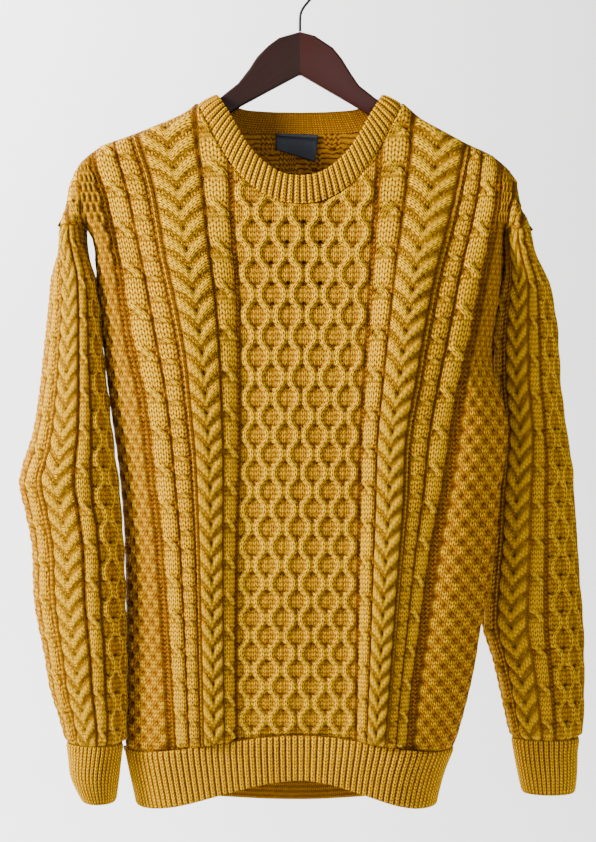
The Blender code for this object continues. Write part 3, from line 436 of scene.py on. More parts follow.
def panelStitch(face, grid):
    x, down, columns = grid
    count = repeatAt(down)
    height, gapShade, purl = (np.zeros(x.shape) for _ in range(3))
    purl += 1
    uv = np.zeros(x.shape + (2,))
    steady = np.zeros(x.shape)
    for zone in ("middle", "inner", "outer", "side", "arm"):
        for side in (-1, 0, 1):
            picked = [c for c, (z, s, _) in enumerate(columns) if z == zone and s == side]
            if not picked:
                continue
            places = np.array([columns[c][2] for c in picked])
            place = np.broadcast_to(places, (x.shape[0], len(picked)))
            sections = bodySections[zone]
            stitches = x[:, picked] / stitchWide
            if zone in ("inner", "outer") and (side < 0) != (face == back):
                # Ropes lean the same way on both halves
                flipped = [(kind, -end, -start, offset) for kind, start, end, offset in sections]
                h, a, dark, low = layStrip(flipped, -place, count[:, picked], stitches)
            else:
                h, a, dark, low = layStrip(sections, place, count[:, picked], stitches)
            height[:, picked], uv[:, picked] = h, a
            if zone == "middle" and face == front:  # the holes at the slack top of the honeycomb get stronger painted shade, elsewhere weaker
                slack = smooth((np.abs(down[:, picked] - 262) - 40) / 14.0)
                slack = np.maximum(slack, smooth((np.abs(x[:, picked] + 4) - 24) / 8.0))
                dark = dark * (0.62 + 0.9 * (1 - slack))
            gapShade[:, picked], purl[:, picked] = dark, low
            steady[:, picked] = np.interp(place, *foldPlaces[zone])
    return height, uv, gapShade, purl, steady


def makeMesh(name, points, faces, uv, tone, finish):
    mesh = bpy.data.meshes.new(name)
    mesh.from_pydata((points * mm).tolist(), [], faces)
    loops = np.zeros(len(mesh.loops), np.int32)
    mesh.loops.foreach_get("vertex_index", loops)
    layer = mesh.uv_layers.new(name="knit")
    layer.data.foreach_set("uv", uv[loops].astype(np.float32).ravel())
    attribute = mesh.attributes.new("tone", "FLOAT_COLOR", "POINT")
    attribute.data.foreach_set("color", tone.astype(np.float32).ravel())
    mesh.polygons.foreach_set("use_smooth", np.ones(len(mesh.polygons), bool))
    mesh.materials.append(finish)
    mesh.update()
    piece = bpy.data.objects.new(name, mesh)
    bpy.context.scene.collection.objects.link(piece)
    shell = bmesh.new()
    shell.from_mesh(mesh)
    bmesh.ops.remove_doubles(shell, verts=shell.verts[:], dist=0.00001)
    if shell.calc_volume(signed=True) < 0:
        bmesh.ops.reverse_faces(shell, faces=shell.faces[:])
    shell.to_mesh(mesh)
    shell.free()
    return piece


def gridFaces(ids, flip):
    a, b, c, d = ids[:-1, :-1], ids[:-1, 1:], ids[1:, 1:], ids[1:, :-1]
    quads = np.stack([a, d, c, b] if flip else [a, b, c, d], axis=-1)
    return quads.reshape(-1, 4).tolist()


def rimFaces(outerPath, innerPath, ratio, flip):
    faces = []
    for k in range(len(innerPath) - 1):
        run = list(outerPath[k * ratio:(k + 1) * ratio + 1])
        face = run + [innerPath[k + 1], innerPath[k]]
        faces.append(face[::-1] if flip else face)
    return faces


def makePanel(name, face, finish):
    allPoints, allUv, allTone, faces, paths = [], [], [], [], []
    start = 0
    for outer in (True, False):
        grids, knee = panelLayer(face, outer)
        ids = {}
        for part in (0, -1, 1):
            x, down, columns = grids[part]
            height, uv, gapShade, purl, steady = panelStitch(face, grids[part])
            base = clothPoints(face, x, down, foldLift(face, x, down, steady))
            flip = (1 if face == front else -1) * (-1 if part == -1 else 1)
            out = gridNormals(base, flip)
            if outer:
                seam = np.where(x < 0, shape["sleeveSeam"][-1], shape["sleeveSeam"][1])
                fromTop = outlineDistance(shoulderRuns, x, down)
                lower = hemLevel(shape["hemSeam"][face], x) - down
                lifted = height * smooth((down - down[:1]) / 6.0) * smooth(lower / 5.0)
                lifted = lifted * (0.35 + 0.65 * smooth(fromTop / 9.0))
                if part:
                    lifted = lifted * (0.45 + 0.55 * smooth(np.abs(down - seam) / 10.0))
                    lifted = lifted * smooth(fromTop / 4.0)
                else:
                    atSide = outlineDistance(sideRuns, x, down)
                    lifted = lifted * (0.35 + 0.65 * smooth(atSide / 10.0))
                points = base + out * lifted[..., None]
            else:
                points = base - out * shape["wall"]
            # tone holds the height share, from which raised stitches are painted lighter and sunk ones
            # darker as painted shade, then the painted shade of holes, grooves and slits, then purl
            share = height / max(relief.values())
            tone = np.stack([share if outer else share * 0 + 0.4, gapShade if outer else gapShade * 0,
                             purl if outer else purl * 0 + 1, np.ones(x.shape)], axis=-1)
            if part:
                kept = np.arange(start, start + points[:, 1:].shape[0] * (points.shape[1] - 1))
                kept = kept.reshape(points.shape[0], -1)
                edge = -1 if part > 0 else 0
                ids[part] = np.hstack([ids[0][:knee + 1, edge][:, None], kept])
                points, uv, tone = points[:, 1:], uv[:, 1:], tone[:, 1:]
            else:
                kept = np.arange(start, start + points.shape[0] * points.shape[1])
                ids[0] = kept.reshape(points.shape[:2])
            start += kept.size
            allPoints.append(points.reshape(-1, 3))
            allUv.append(uv.reshape(-1, 2))
            allTone.append(tone.reshape(-1, 4))
        turned = (face == back) != (not outer)
        faces += gridFaces(ids[0], not turned)
        faces += gridFaces(ids[1], not turned)
        faces += gridFaces(ids[-1], turned)
        paths.append(np.concatenate([
            ids[0][knee:, 0][::-1], ids[-1][-1, 1:], ids[-1][::-1, -1][1:], ids[-1][0, ::-1][1:],
            ids[0][0, 1:], ids[1][0, 1:], ids[1][1:, -1], ids[1][-1, ::-1][1:],
            ids[0][knee + 1:, -1], ids[0][-1, ::-1][1:]]))
    faces += rimFaces(paths[0], paths[1], panelGrid["ratio"], face == back)
    return makeMesh(name, np.vstack(allPoints), faces, np.vstack(allUv), np.vstack(allTone),
                    finish)


sleeveShape = {
    "down": {-1: [228, 246, 268, 300, 350, 400, 437, 464, 482, 508, 541, 600, 653, 687, 715, 738,
                  753, 771, 797],
             1: [232, 250, 261, 296, 341, 383, 426, 467, 490, 544, 590, 626, 664, 695, 728, 741,
                 756, 779, 797]},
    "outer": {-1: [239, 242, 246, 248.5, 253, 258, 264, 272.5, 276, 270.5, 264, 261, 251, 245,
                   236, 230, 227, 224, 213],
              1: [230, 236, 238, 247, 255, 260, 267, 273, 275, 279, 282, 285, 285.5, 285, 283.5,
                  282, 279, 278, 277]},
    "inner": {-1: [213.8, 209, 205.5, 202.5, 198.5, 192.5, 188, 184.5, 182, 180, 177.5, 175.5,
                   174, 174, 174.5, 176, 179, 181.5, 184],
              1: [202.8, 203.5, 202.5, 198.5, 194.5, 196, 201, 199, 197, 194, 190, 188, 199, 206,
                  213, 216, 219.5, 224, 227]},
    "lean": {-1: [0, 4, 7, 9, 10, 10, 10, 10, 10, 10, 10, 10, 9, 8, 7, 5, 3, 1, 0],
             1: [0, 4, 6, 8, 8, 7, 6, 5, 4, 3, 2, 1, 0, 0, 0, 0, 0, 0, 0]},
    "middle": {-1: [0, -4, -8, -12, -17, -22, -26, -28, -29, -29, -29, -29, -29, -29, -29, -28,
                    -27, -27, -26],
               1: [0, 5, 9, 20, 32, 45, 57, 58, 58, 57, 55, 52, 48, 44, 41, 39, 38, 37, 36]},
    "half": {-1: [48, 47, 46, 46, 45, 45, 45, 45, 45, 45, 45, 44, 42, 40, 38, 36, 34, 32, 27],
             1: [48, 47, 46, 46, 45, 45, 45, 45, 45, 44, 43, 42, 41, 40, 38, 36, 34, 31, 27]},
    "cuffSeam": {-1: 738.0, 1: 741.0},
    "cuffEdge": 797.0,
    "blend": 55.0,
    "patternAt": {-1: math.radians(60), 1: math.radians(50)},  # middle of its honeycomb
    "halfRound": 142.0,
    "repeat": 36.7,
    "around": 152, "rows": 268, "ratio": 4,
}
sleeveReads = {s: {k: reader(sleeveShape["down"][s], sleeveShape[k][s])
                   for k in ("outer", "inner", "lean", "middle", "half")} for s in (-1, 1)}
# Half a sleeve from the middle of its honeycomb, in millimetres round it
sleeveSections = [("honeycomb", -29.0, 29.0, 2), ("rope", 32.0, 47.0, 0.2), ("vee", 48.5, 78.0, 0.4),
                  ("line", 79.5, 84.0, 0), ("rope", 86.0, 101.0, 0.7), ("moss", 103.0, 142.0, 10)]


def sleevePoints(side, angle, down):
    angle, down = np.broadcast_arrays(np.asarray(angle, float), np.asarray(down, float))
    seam = shape["sleeveSeam"][side]
    row = {k: read(np.maximum(down, seam)) for k, read in sleeveReads[side].items()}
    half = np.sqrt(((row["outer"] - row["inner"]) / 2) ** 2 - row["lean"] ** 2)
    x = side * (row["outer"] + row["inner"]) / 2 + half * np.sin(angle)
    x = x + row["lean"] * np.cos(angle)
    y = row["middle"] - row["half"] * np.cos(angle)
    share = smooth((down - seam) / sleeveShape["blend"])
    start = shape["shoulderOut"][side][-1]
    end = float(sideOut[side](seam)) + 0.6
    seamX = side * (start + end) / 2 + (start - end) / 2 * np.sin(angle)
    seamLevel = np.full(angle.shape, seam)
    seamY = np.where(np.cos(angle) > 0, clothPoints(front, seamX, seamLevel)[..., 1],
                     clothPoints(back, seamX, seamLevel)[..., 1])
    x = seamX + share * (x - seamX)
    y = seamY + share * (y - seamY)
    return np.stack([x, y, -(down + datum)], axis=-1)


# Creases on the sleeves: side, angle, down, how wide, how tall, lift, lean
sleeveFolds = [(-1, -0.3, 478, 0.5, 12, 2.5, 0.02), (-1, 0.2, 500, 0.6, 9, -2.5, 0.02),
               (-1, -0.9, 455, 0.4, 14, -2.0, 0.0), (-1, 0.0, 610, 0.5, 60, 1.5, 0.0),
               (-1, 2.6, 470, 0.7, 14, -3.0, 0.0), (-1, 3.6, 330, 0.6, 40, 2.0, 0.0),
               (1, 0.3, 440, 0.5, 14, -2.0, 0.0), (1, 0.9, 470, 0.5, 12, 2.0, 0.0),
               (1, 0.2, 610, 0.5, 50, 2.0, 0.0), (1, -2.4, 430, 0.7, 16, -3.0, 0.0),
               (1, 3.0, 600, 0.6, 50, 2.0, 0.0), (1, 1.2, 320, 0.5, 50, 2.0, 0.0)]


def wrapped(angle):
    return (angle + math.pi) % math.tau - math.pi


def gridIds(grid, start=0):
    return np.arange(grid.shape[0] * grid.shape[1]).reshape(grid.shape[:2]) + start


def layerMesh(name, outer, inner, faces, ratio, wide, uv, tone, finish):
    # The inner layer is plain purl: its stitches are counted along rows and across
    rows, across = inner.shape[:2]
    plain = np.meshgrid(np.arange(across) * ratio * wide, np.arange(rows) * ratio * 0.45)
    plain = np.stack(plain, axis=-1).reshape(-1, 2)
    inside = np.tile([0.4, 0.0, 1.0, 1.0], (rows * across, 1))
    points = np.vstack([outer.reshape(-1, 3), inner.reshape(-1, 3)])
    return makeMesh(name, points, faces, np.vstack([uv.reshape(-1, 2), plain]),
                    np.vstack([tone.reshape(-1, 4), inside]), finish)


def tubeMesh(name, outer, inner, ratio, uv, tone, finish):
    # Rows run round the tube and don't repeat their first point
    outerIds = gridIds(outer)
    innerIds = gridIds(inner, outerIds.size)
    outerIds = np.hstack([outerIds, outerIds[:, :1]])
    innerIds = np.hstack([innerIds, innerIds[:, :1]])
    faces = gridFaces(outerIds, False) + gridFaces(innerIds, True)
    faces += rimFaces(outerIds[0], innerIds[0], ratio, False)
    faces += rimFaces(outerIds[-1], innerIds[-1], ratio, True)
    return layerMesh(name, outer, inner, faces, ratio, 0.4, uv, tone, finish)


def sheetMesh(name, outer, inner, ratio, uv, tone, flip, finish):
    outerIds = gridIds(outer)
    innerIds = gridIds(inner, outerIds.size)
    faces = gridFaces(outerIds, not flip) + gridFaces(innerIds, flip)

    def around(ids):
        return np.concatenate([ids[:, 0][::-1], ids[0, 1:], ids[1:, -1], ids[-1, :-1][::-1]])

    faces += rimFaces(around(outerIds), around(innerIds), ratio, flip)
    return layerMesh(name, outer, inner, faces, ratio, 0.45, uv, tone, finish)


def makeSleeve(name, side, finish):
    top, bottom = shape["sleeveSeam"][side] + shape["gap"], sleeveShape["cuffSeam"][side]
    grids = {}
    for outer in (True, False):
        step = 1 if outer else sleeveShape["ratio"]
        turn = math.tau * np.arange(0, sleeveShape["around"], step) / sleeveShape["around"]
        down = np.linspace(top, bottom, sleeveShape["rows"] // step + 1)[:, None]
        angle = turn[None, :] + np.zeros_like(down)
        down = down + np.zeros_like(angle)
        lift = np.zeros_like(angle)
        for atSide, atTurn, atDown, wide, tall, height, lean in sleeveFolds:
            if atSide == side:
                off = wrapped(turn - atTurn)[None, :]
                lift += height * np.exp(-(off / wide) ** 2
                                        - ((down - atDown - lean * off * 100) / tall) ** 2)
        base = sleevePoints(side, angle, down)
        out = ringNormals(base)
        lift = lift * smooth((down - top) / 40) * smooth((bottom - down) / 20)
        base = base + out * lift[..., None]
        if outer:
            place = wrapped(angle - sleeveShape["patternAt"][side]) / math.pi
            place = place * sleeveShape["halfRound"]
            count = (down - 531.0) / sleeveShape["repeat"]
            stitches = place / stitchWide
            right = layStrip(sleeveSections, place, count, stitches)
            flipped = [(k, -e, -s, o) for k, s, e, o in sleeveSections[1:]]
            left = layStrip(flipped, place, count, stitches)
            pick = place < -29.0
            height, gapShade, purl = (np.where(pick, left[k], right[k]) for k in (0, 2, 3))
            uv = np.where(pick[..., None], left[1], right[1])
            seamFade = (0.45 + 0.55 * smooth((down - top) / 10.0)) * smooth((bottom - down) / 5.0)
            towards = np.clip(-side * np.sin(angle), 0, 1)
            seamFade = seamFade * (1 - towards * (1 - smooth((down - top - 20) / 60.0)))
            away = np.clip(side * np.sin(angle), 0, 1) ** 3
            seamFade = seamFade * (1 - away * (1 - smooth((down - top) / 60.0)))
            # the height share in tone paints raised stitches lighter and sunk ones darker, as painted
            # shade
            tone = np.stack([height / max(relief.values()), gapShade, purl, np.ones(gapShade.shape)],
                            axis=-1)
            grids[True] = base + out * (height * seamFade)[..., None]
        else:
            grids[False] = base - out * shape["wall"]
    return tubeMesh(name, grids[True], grids[False], sleeveShape["ratio"], uv, tone, finish)


ribShape = {
    "hemRibs": 66, "cuffRibs": 40, "bandRibs": 82,
    "samples": 6, "relief": 2.1, "rowsHigh": {"hem": 26, "cuff": 24, "band": 22},
    "stitchRow": 3.3,
    "bandLean": 0.82, "bandSwell": 2.2, "bandClear": 0.12, "bandShoulderClear": 0.2,
    "bandOut": {front: [0, 17, 34, 50, 61, 71, 78, 82], back: [0, 35, 58, 70, 78, 82]},
    "bandDown": {front: [179, 176.5, 166, 149, 131, 113, 102, 96],
                 back: [110.5, 109.5, 107, 103, 99, 96]},
}
bandDown = {f: reader(ribShape["bandOut"][f], ribShape["bandDown"][f]) for f in (front, back)}


def ribHeight(place):  # place counted in ribs, a rib's crest at each half
    off = (place - np.floor(place) - 0.5) / 0.40
    return np.sqrt(np.clip(1 - off ** 2, 0, 1)) ** 0.8


def ribTone(place, along):
    height = ribHeight(place)
    # raised ribs are painted lighter and the hollows between them darker, as painted shade
    tone = np.stack([height * 0.75, np.zeros(height.shape), (height < 0.02) * 1.0,
                     np.ones(height.shape)], axis=-1)
    off = (place - np.floor(place) - 0.5) / 0.40
    uv = np.stack([np.floor(place) + np.clip(off / 2 + 0.5, 0, 1), along], axis=-1)
    return height, uv, tone


def makeHem(name, face, finish):
    samples = ribShape["hemRibs"] * ribShape["samples"]
    rows = ribShape["rowsHigh"]["hem"]
    shares = np.linspace(-1, 1, 1201)
    shares = np.sign(shares) * (1 - (1 - np.abs(shares)) ** 1.6)

    def xAt(share, down):
        return np.where(share < 0, -sideOut[-1](down) * -share, sideOut[1](down) * share)

    line = clothPoints(face, xAt(shares, np.full(shares.shape, 765.0)), 765.0)
    lengths = lengthsAlong(line)
    grids = []
    for step in (1, 2):
        places = np.interp(np.linspace(0, lengths[-1], samples // step + 1), lengths, shares)
        share = places[None, :] + np.zeros((rows // step + 1, 1))
        x = xAt(share, 745.0)
        top = hemLevel(shape["hemSeam"][face], x) + shape["gap"]
        bottom = hemLevel(shape["hemEdge"][face], x)
        down = top + (bottom - top) * np.linspace(0, 1, rows // step + 1)[:, None]
        ripple = 0.9 * np.sin(places * 9.0 + face) * np.linspace(0, 1, rows // step + 1)[:, None]
        base = clothPoints(face, xAt(share, down), down, ripple)
        out = gridNormals(base, 1 if face == front else -1)
        grids.append((base, out, down, top, bottom))
    base, out, down, top, bottom = grids[0]
    place = np.linspace(0, ribShape["hemRibs"], samples + 1)[None, :] + np.zeros_like(down)
    height, uv, tone = ribTone(place, down / ribShape["stitchRow"])
    edge = smooth((bottom - down) / 3.0) * smooth((down - top) / 3.0)
    calm = np.minimum(np.minimum(place, ribShape["hemRibs"] - place), 1.0)
    outer = base + out * (ribShape["relief"] * height * (0.35 + 0.65 * edge) * calm)[..., None]
    inner = grids[1][0] - grids[1][1] * shape["wall"]
    return sheetMesh(name, outer, inner, 2, uv, tone, face == back, finish)


def makeCuff(name, side, finish):
    samples = ribShape["cuffRibs"] * ribShape["samples"]
    rows = ribShape["rowsHigh"]["cuff"]
    top, bottom = sleeveShape["cuffSeam"][side] + shape["gap"], sleeveShape["cuffEdge"]
    layers = []
    for step in (1, 2):
        turn = math.tau * np.arange(0, samples, step) / samples
        down = np.linspace(top, bottom, rows // step + 1)[:, None] + np.zeros((1, turn.size))
        base = sleevePoints(side, turn[None, :] + np.zeros_like(down), down)
        layers.append((base, ringNormals(base), down, turn))
    base, out, down, turn = layers[0]
    place = (turn / math.tau * ribShape["cuffRibs"])[None, :] + np.zeros_like(down)
    height, uv, tone = ribTone(place, down / ribShape["stitchRow"])
    edge = smooth((bottom - down) / 3.0) * smooth((down - top) / 3.0)
    swell = 1.2 * np.sin(math.pi * (down - top) / (bottom - top))
    outer = base + out * (swell + ribShape["relief"] * height * (0.35 + 0.65 * edge))[..., None]
    inner = layers[1][0] - layers[1][1] * shape["wall"]
    return tubeMesh(name, outer, inner, 2, uv, tone, finish)


def makeNeckband(name, finish):
    ribs, rows = ribShape["bandRibs"], ribShape["rowsHigh"]["band"]
    samples = ribs * ribShape["samples"]
    turns = np.linspace(0, math.tau, 2401)

    def seamAt(turn):
        across = np.sin(turn)
        isFront = np.cos(turn) > 0
        x = across * (shape["neckHalf"] - 1.0)
        down = np.where(isFront, neckDown[front](np.abs(x)), neckDown[back](np.abs(x)))
        point = np.where(isFront[..., None], clothPoints(front, x, down), clothPoints(back, x, down))
        topX = across * ribShape["bandOut"][front][-1]
        topDown = np.where(isFront, bandDown[front](np.abs(topX)), bandDown[back](np.abs(topX)))
        top = np.stack([topX, point[..., 1] * ribShape["bandLean"], -(topDown + datum)], axis=-1)
        rise = top - point
        rise = rise / np.linalg.norm(rise, axis=-1, keepdims=True)
        calm = smooth(np.abs(np.cos(turn)) / 0.35)
        clear = ribShape["bandClear"] + (1 - calm) * ribShape["bandShoulderClear"]
        return point + rise * clear[..., None], top, calm

    line = sum(seamAt(turns)[:2]) / 2
    lengths = lengthsAlong(line)
    layers = []
    for step in (1, 2):
        even = np.arange(0, samples, step) / samples * lengths[-1]
        turn = np.interp(even, lengths, turns)
        low, high, calm = seamAt(turn)
        share = np.linspace(1, 0, rows // step + 1)[:, None, None]
        base = low[None] + (high - low)[None] * share
        out = ringNormals(base, 2)
        swell = ribShape["bandSwell"] * np.sin(math.pi * share[..., 0]) ** 0.7 * (0.35 + 0.65 * calm)
        layers.append((base + out * swell[..., None], out, share[..., 0], calm))
    base, out, share, calm = layers[0]
    place = (np.arange(samples) / ribShape["samples"])[None, :] + np.zeros_like(share)
    tall = np.linalg.norm(high - low, axis=-1).mean()
    height, uv, tone = ribTone(place, share * tall / 2.9 + np.zeros_like(place))
    edge = smooth(share / 0.12) * smooth((1 - share) / 0.10)
    lifted = ribShape["relief"] * height * (0.3 + 0.7 * edge) * (0.5 + 0.5 * calm)
    outer = base + out * lifted[..., None]
    inner = layers[1][0] - layers[1][1] * shape["wall"]
    place = (np.arange(0, samples, 2) / ribShape["samples"])[None, :] + np.zeros_like(layers[1][2])
    inner = inner - layers[1][1] * (ribHeight(place) * 0.9 * smooth((1 - layers[1][2]) / 0.2))[..., None]
    return tubeMesh(name, outer, inner, 2, uv, tone, finish)


labelShape = {"corners": [(-24, 130.5), (18.5, 132), (15.5, 158.5), (-24.5, 146)],
              "clear": 1.2, "thick": 0.7, "columns": 40, "rows": 24, "fold": 1.1}


def makeLabel(finish):
    corners = np.array(labelShape["corners"], float)
    u = np.linspace(0, 1, labelShape["columns"] + 1)[None, :]
    v = np.linspace(0, 1, labelShape["rows"] + 1)[:, None]
    spot = ((1 - v) * (1 - u))[..., None] * corners[0] + ((1 - v) * u)[..., None] * corners[1]
    spot = spot + (v * u)[..., None] * corners[2] + (v * (1 - u))[..., None] * corners[3]
    base = clothPoints(back, spot[..., 0], spot[..., 1])
    out = gridNormals(base, -1)
    curl = 0.5 * np.sin(u * 5.0 + 0.6) * v + 0.8 * (u * v) ** 3
    band = labelShape["fold"] * np.exp(-((v - 0.10) / 0.09) ** 2)
    lift = shape["wall"] + labelShape["clear"] + curl * 0.8 + band * 0.5
    near = base - out * lift[..., None]
    far = near - out * (labelShape["thick"] + band * 0.4)[..., None]
    uv = np.stack([u + v * 0, v + u * 0], axis=-1)
    tone = np.stack([v + u * 0, u * 0 + v * 0, u * 0 + v * 0, u * 0 + v * 0 + 1], axis=-1)
    return sheetMesh("wovenLabel", far, near, 1, uv, tone, False, finish)


hookShape = {
    "stem": [(0, 31.4), (0, 22), (0.6, 14), (4, 7), (10.5, -1), (17, -9.5)],
    "radius": 26.0, "wire": 1.4, "from": -30, "to": 190, "step": 11, "smoothing": 4,
}


def makeHook(finish):
    centre = hookShape["radius"] - hookShape["wire"] - datum
    points = list(hookShape["stem"])
    for degrees in range(hookShape["from"], hookShape["to"], hookShape["step"]):
        turn = math.radians(degrees)
        points.append((hookShape["radius"] * math.cos(turn),
                       centre - hookShape["radius"] * math.sin(turn)))
    points = np.array(points, float)
    places = np.arange(len(points))
    along = np.linspace(0, len(points) - 1, (len(points) - 1) * hookShape["smoothing"] + 1)
    x, down = (reader(places, points[:, k])(along) for k in (0, 1))
    bpy.ops.object.select_all(action="DESELECT")
    bpy.ops.curve.primitive_nurbs_path_add(radius=0.01)
    hook = bpy.context.object
    hook.name = "wireHook"
    curve = hook.data
    curve.splines.clear()
    spline = curve.splines.new("POLY")
    spline.points.add(len(along) - 1)
    for k, spot in enumerate(spline.points):
        spot.co = (x[k] * mm, 0.0, -(down[k] + datum) * mm, 1.0)
        spot.radius = 0.55 if k == len(along) - 1 else 1.0
    curve.dimensions = "3D"
    curve.bevel_depth = hookShape["wire"] * mm
    curve.bevel_resolution = 5
    curve.use_fill_caps = True
    bpy.ops.object.convert(target="MESH")
    bpy.ops.object.transform_apply(location=True, rotation=True, scale=True)
    bpy.ops.object.shade_smooth_by_angle(angle=math.radians(50))
    hook.data.materials.clear()
    hook.data.materials.append(finish)
    return hook


hangerShape = {
    "halfThick": 4.5, "seat": 5.4, "armDeep": 21.0, "endOut": 196.0,
    "top": {-1: [(0, 32), (21, 38), (32, 46), (43, 57), (51.5, 70), (62, 83.5), (80, 98)],
            1: [(15, 36), (33, 48), (42, 59), (50.5, 73), (59, 85.5), (76, 99)]},
    "notch": (0, 75),
    "under": {-1: (59, 106.5), 1: (57, 108)},
    "edge": 2.6, "edgeSteps": 4,
}


def hangerOutline():
    tops, unders = {}, {}
    for side in (-1, 1):
        arm = []
        for out, down in zip(shape["shoulderOut"][side], shape["shoulderDown"][side]):
            if 112 < out < hangerShape["endOut"]:
                ahead = shoulderOut[side](down + 2) - shoulderOut[side](down - 2)
                slope = Vector((float(ahead), 4.0)).normalized()
                arm.append((out - slope.y * hangerShape["seat"], down + slope.x * hangerShape["seat"]))
        arm.append((hangerShape["endOut"], arm[-1][1] + 9.0))
        tops[side] = [(side * out, down) for out, down in hangerShape["top"][side] + arm]
        lower = [(out - 6.0, down + hangerShape["armDeep"]) for out, down in arm[:-1]]
        lower.append((hangerShape["endOut"] - 3.0, arm[-1][1] + hangerShape["armDeep"] * 0.6))
        unders[side] = [(side * out, down) for out, down in [hangerShape["under"][side]] + lower]
    return tops[-1][::-1] + tops[1] + unders[1][::-1] + [hangerShape["notch"]] + unders[-1]


def makeHanger(finish):
    outline = hangerOutline()
    bpy.ops.object.select_all(action="DESELECT")
    bpy.ops.mesh.primitive_circle_add(vertices=len(outline), radius=0.1, fill_type="NGON")
    hanger = bpy.context.object
    hanger.name = "woodenHanger"
    for spot, (x, down) in zip(hanger.data.vertices, outline):
        spot.co = (x * mm, -hangerShape["halfThick"] * mm, -(down + datum) * mm)
    bpy.ops.object.mode_set(mode="EDIT")
    bpy.ops.mesh.select_all(action="SELECT")
    bpy.ops.mesh.extrude_region_move(
        TRANSFORM_OT_translate={"value": (0, 2 * hangerShape["halfThick"] * mm, 0)})
    bpy.ops.mesh.select_all(action="SELECT")
    bpy.ops.mesh.normals_make_consistent(inside=False)
    bpy.ops.object.mode_set(mode="OBJECT")
    ease = hanger.modifiers.new("ease", "BEVEL")
    ease.width = hangerShape["edge"] * mm
    ease.segments = hangerShape["edgeSteps"]
    ease.limit_method = "ANGLE"
    ease.angle_limit = math.radians(50)
    bpy.ops.object.modifier_apply(modifier="ease")
    bpy.ops.object.shade_smooth_by_angle(angle=math.radians(35))
    hanger.data.materials.append(finish)
    return hanger


class Wire:  # one socket of a material, so that sums on it add Math nodes
    def __init__(self, paint, socket):
        self.paint, self.socket = paint, socket

    def clamped(self):
        return self.atLeast(0.0).atMost(1.0)


def mathMethod(operation, turned):
    def method(self, other=0.0):
        pair = {0: other, 1: self} if turned else {0: self, 1: other}
        return self.paint.node("ShaderNodeMath", {"operation": operation}, pair)

    return method


for name, operation, turned in [
        ("__add__", "ADD", False), ("__radd__", "ADD", True), ("__sub__", "SUBTRACT", False),
        ("__rsub__", "SUBTRACT", True), ("__mul__", "MULTIPLY", False),
        ("__rmul__", "MULTIPLY", True), ("__pow__", "POWER", False),
        ("__abs__", "ABSOLUTE", False), ("part", "FRACT", False), ("sine", "SINE", False),
        ("atMost", "MINIMUM", False), ("atLeast", "MAXIMUM", False)]:
    setattr(Wire, name, mathMethod(operation, turned))


class Paint:  # one material being put together
    def __init__(self, name):
        self.material = bpy.data.materials.new(name)
        self.material.use_nodes = True
        self.tree = self.material.node_tree
        self.tree.nodes.clear()

    def node(self, kind, settings=None, inputs=None, output=0):
        made = self.tree.nodes.new(kind)
        for key, value in (settings or {}).items():
            setattr(made, key, value)
        for key, value in (inputs or {}).items():
            if isinstance(value, Wire):
                self.tree.links.new(value.socket, made.inputs[key])
            else:
                made.inputs[key].default_value = value
        return Wire(self, made.outputs[output]) if made.outputs else None

    def mixed(self, share, first, second, how="MIX"):
        return self.node("ShaderNodeMix", {"data_type": "RGBA", "blend_type": how},
                         {0: share, 6: first, 7: second}, 2)

    def noise(self, where, scale, detail=3.0, rough=0.5):
        return self.node("ShaderNodeTexNoise", {},
                         {"Vector": where, "Scale": scale, "Detail": detail, "Roughness": rough})

    def spot(self):  # place in the piece's own frame, in metres
        return self.node("ShaderNodeTexCoord", {}, {}, 3)

    def split(self, kind, value, count):  # the first parts of a vector or a colour
        outputs = self.node(kind, {}, {0: value}).socket.node.outputs
        return [Wire(self, outputs[k]) for k in range(count)]

    def bump(self, strength, distance, height):
        return self.node("ShaderNodeBump", {}, {"Strength": strength, "Distance": distance,
                                                "Height": height})

    def finish(self, **sockets):
        inputs = {key.replace("_", " "): value for key, value in sockets.items()}
        shader = self.node("ShaderNodeBsdfPrincipled", {}, inputs)
        self.node("ShaderNodeOutputMaterial", {}, {"Surface": shader})
        return self.material


# Of these colours the lightest is a painted highlight for stitch tops, the dark brown is painted shade
# for valleys and the gaps between loops, and the near black is painted shade for holes, grooves and
# slits; the flecks are the yarn's own heather.
yarn = {
    "light": (0.98, 0.60, 0.0, 1), "base": (0.66, 0.285, 0.0, 1),
    "shadeDeep": (0.10, 0.020, 0.0, 1), "gapShade": (0.008, 0.002, 0.0, 1),
    "fleckPale": (1.0, 0.72, 0.05, 1), "fleckPink": (0.55, 0.25, 0.02, 1),
    "legSlant": 0.55, "bump": 0.0021,
}


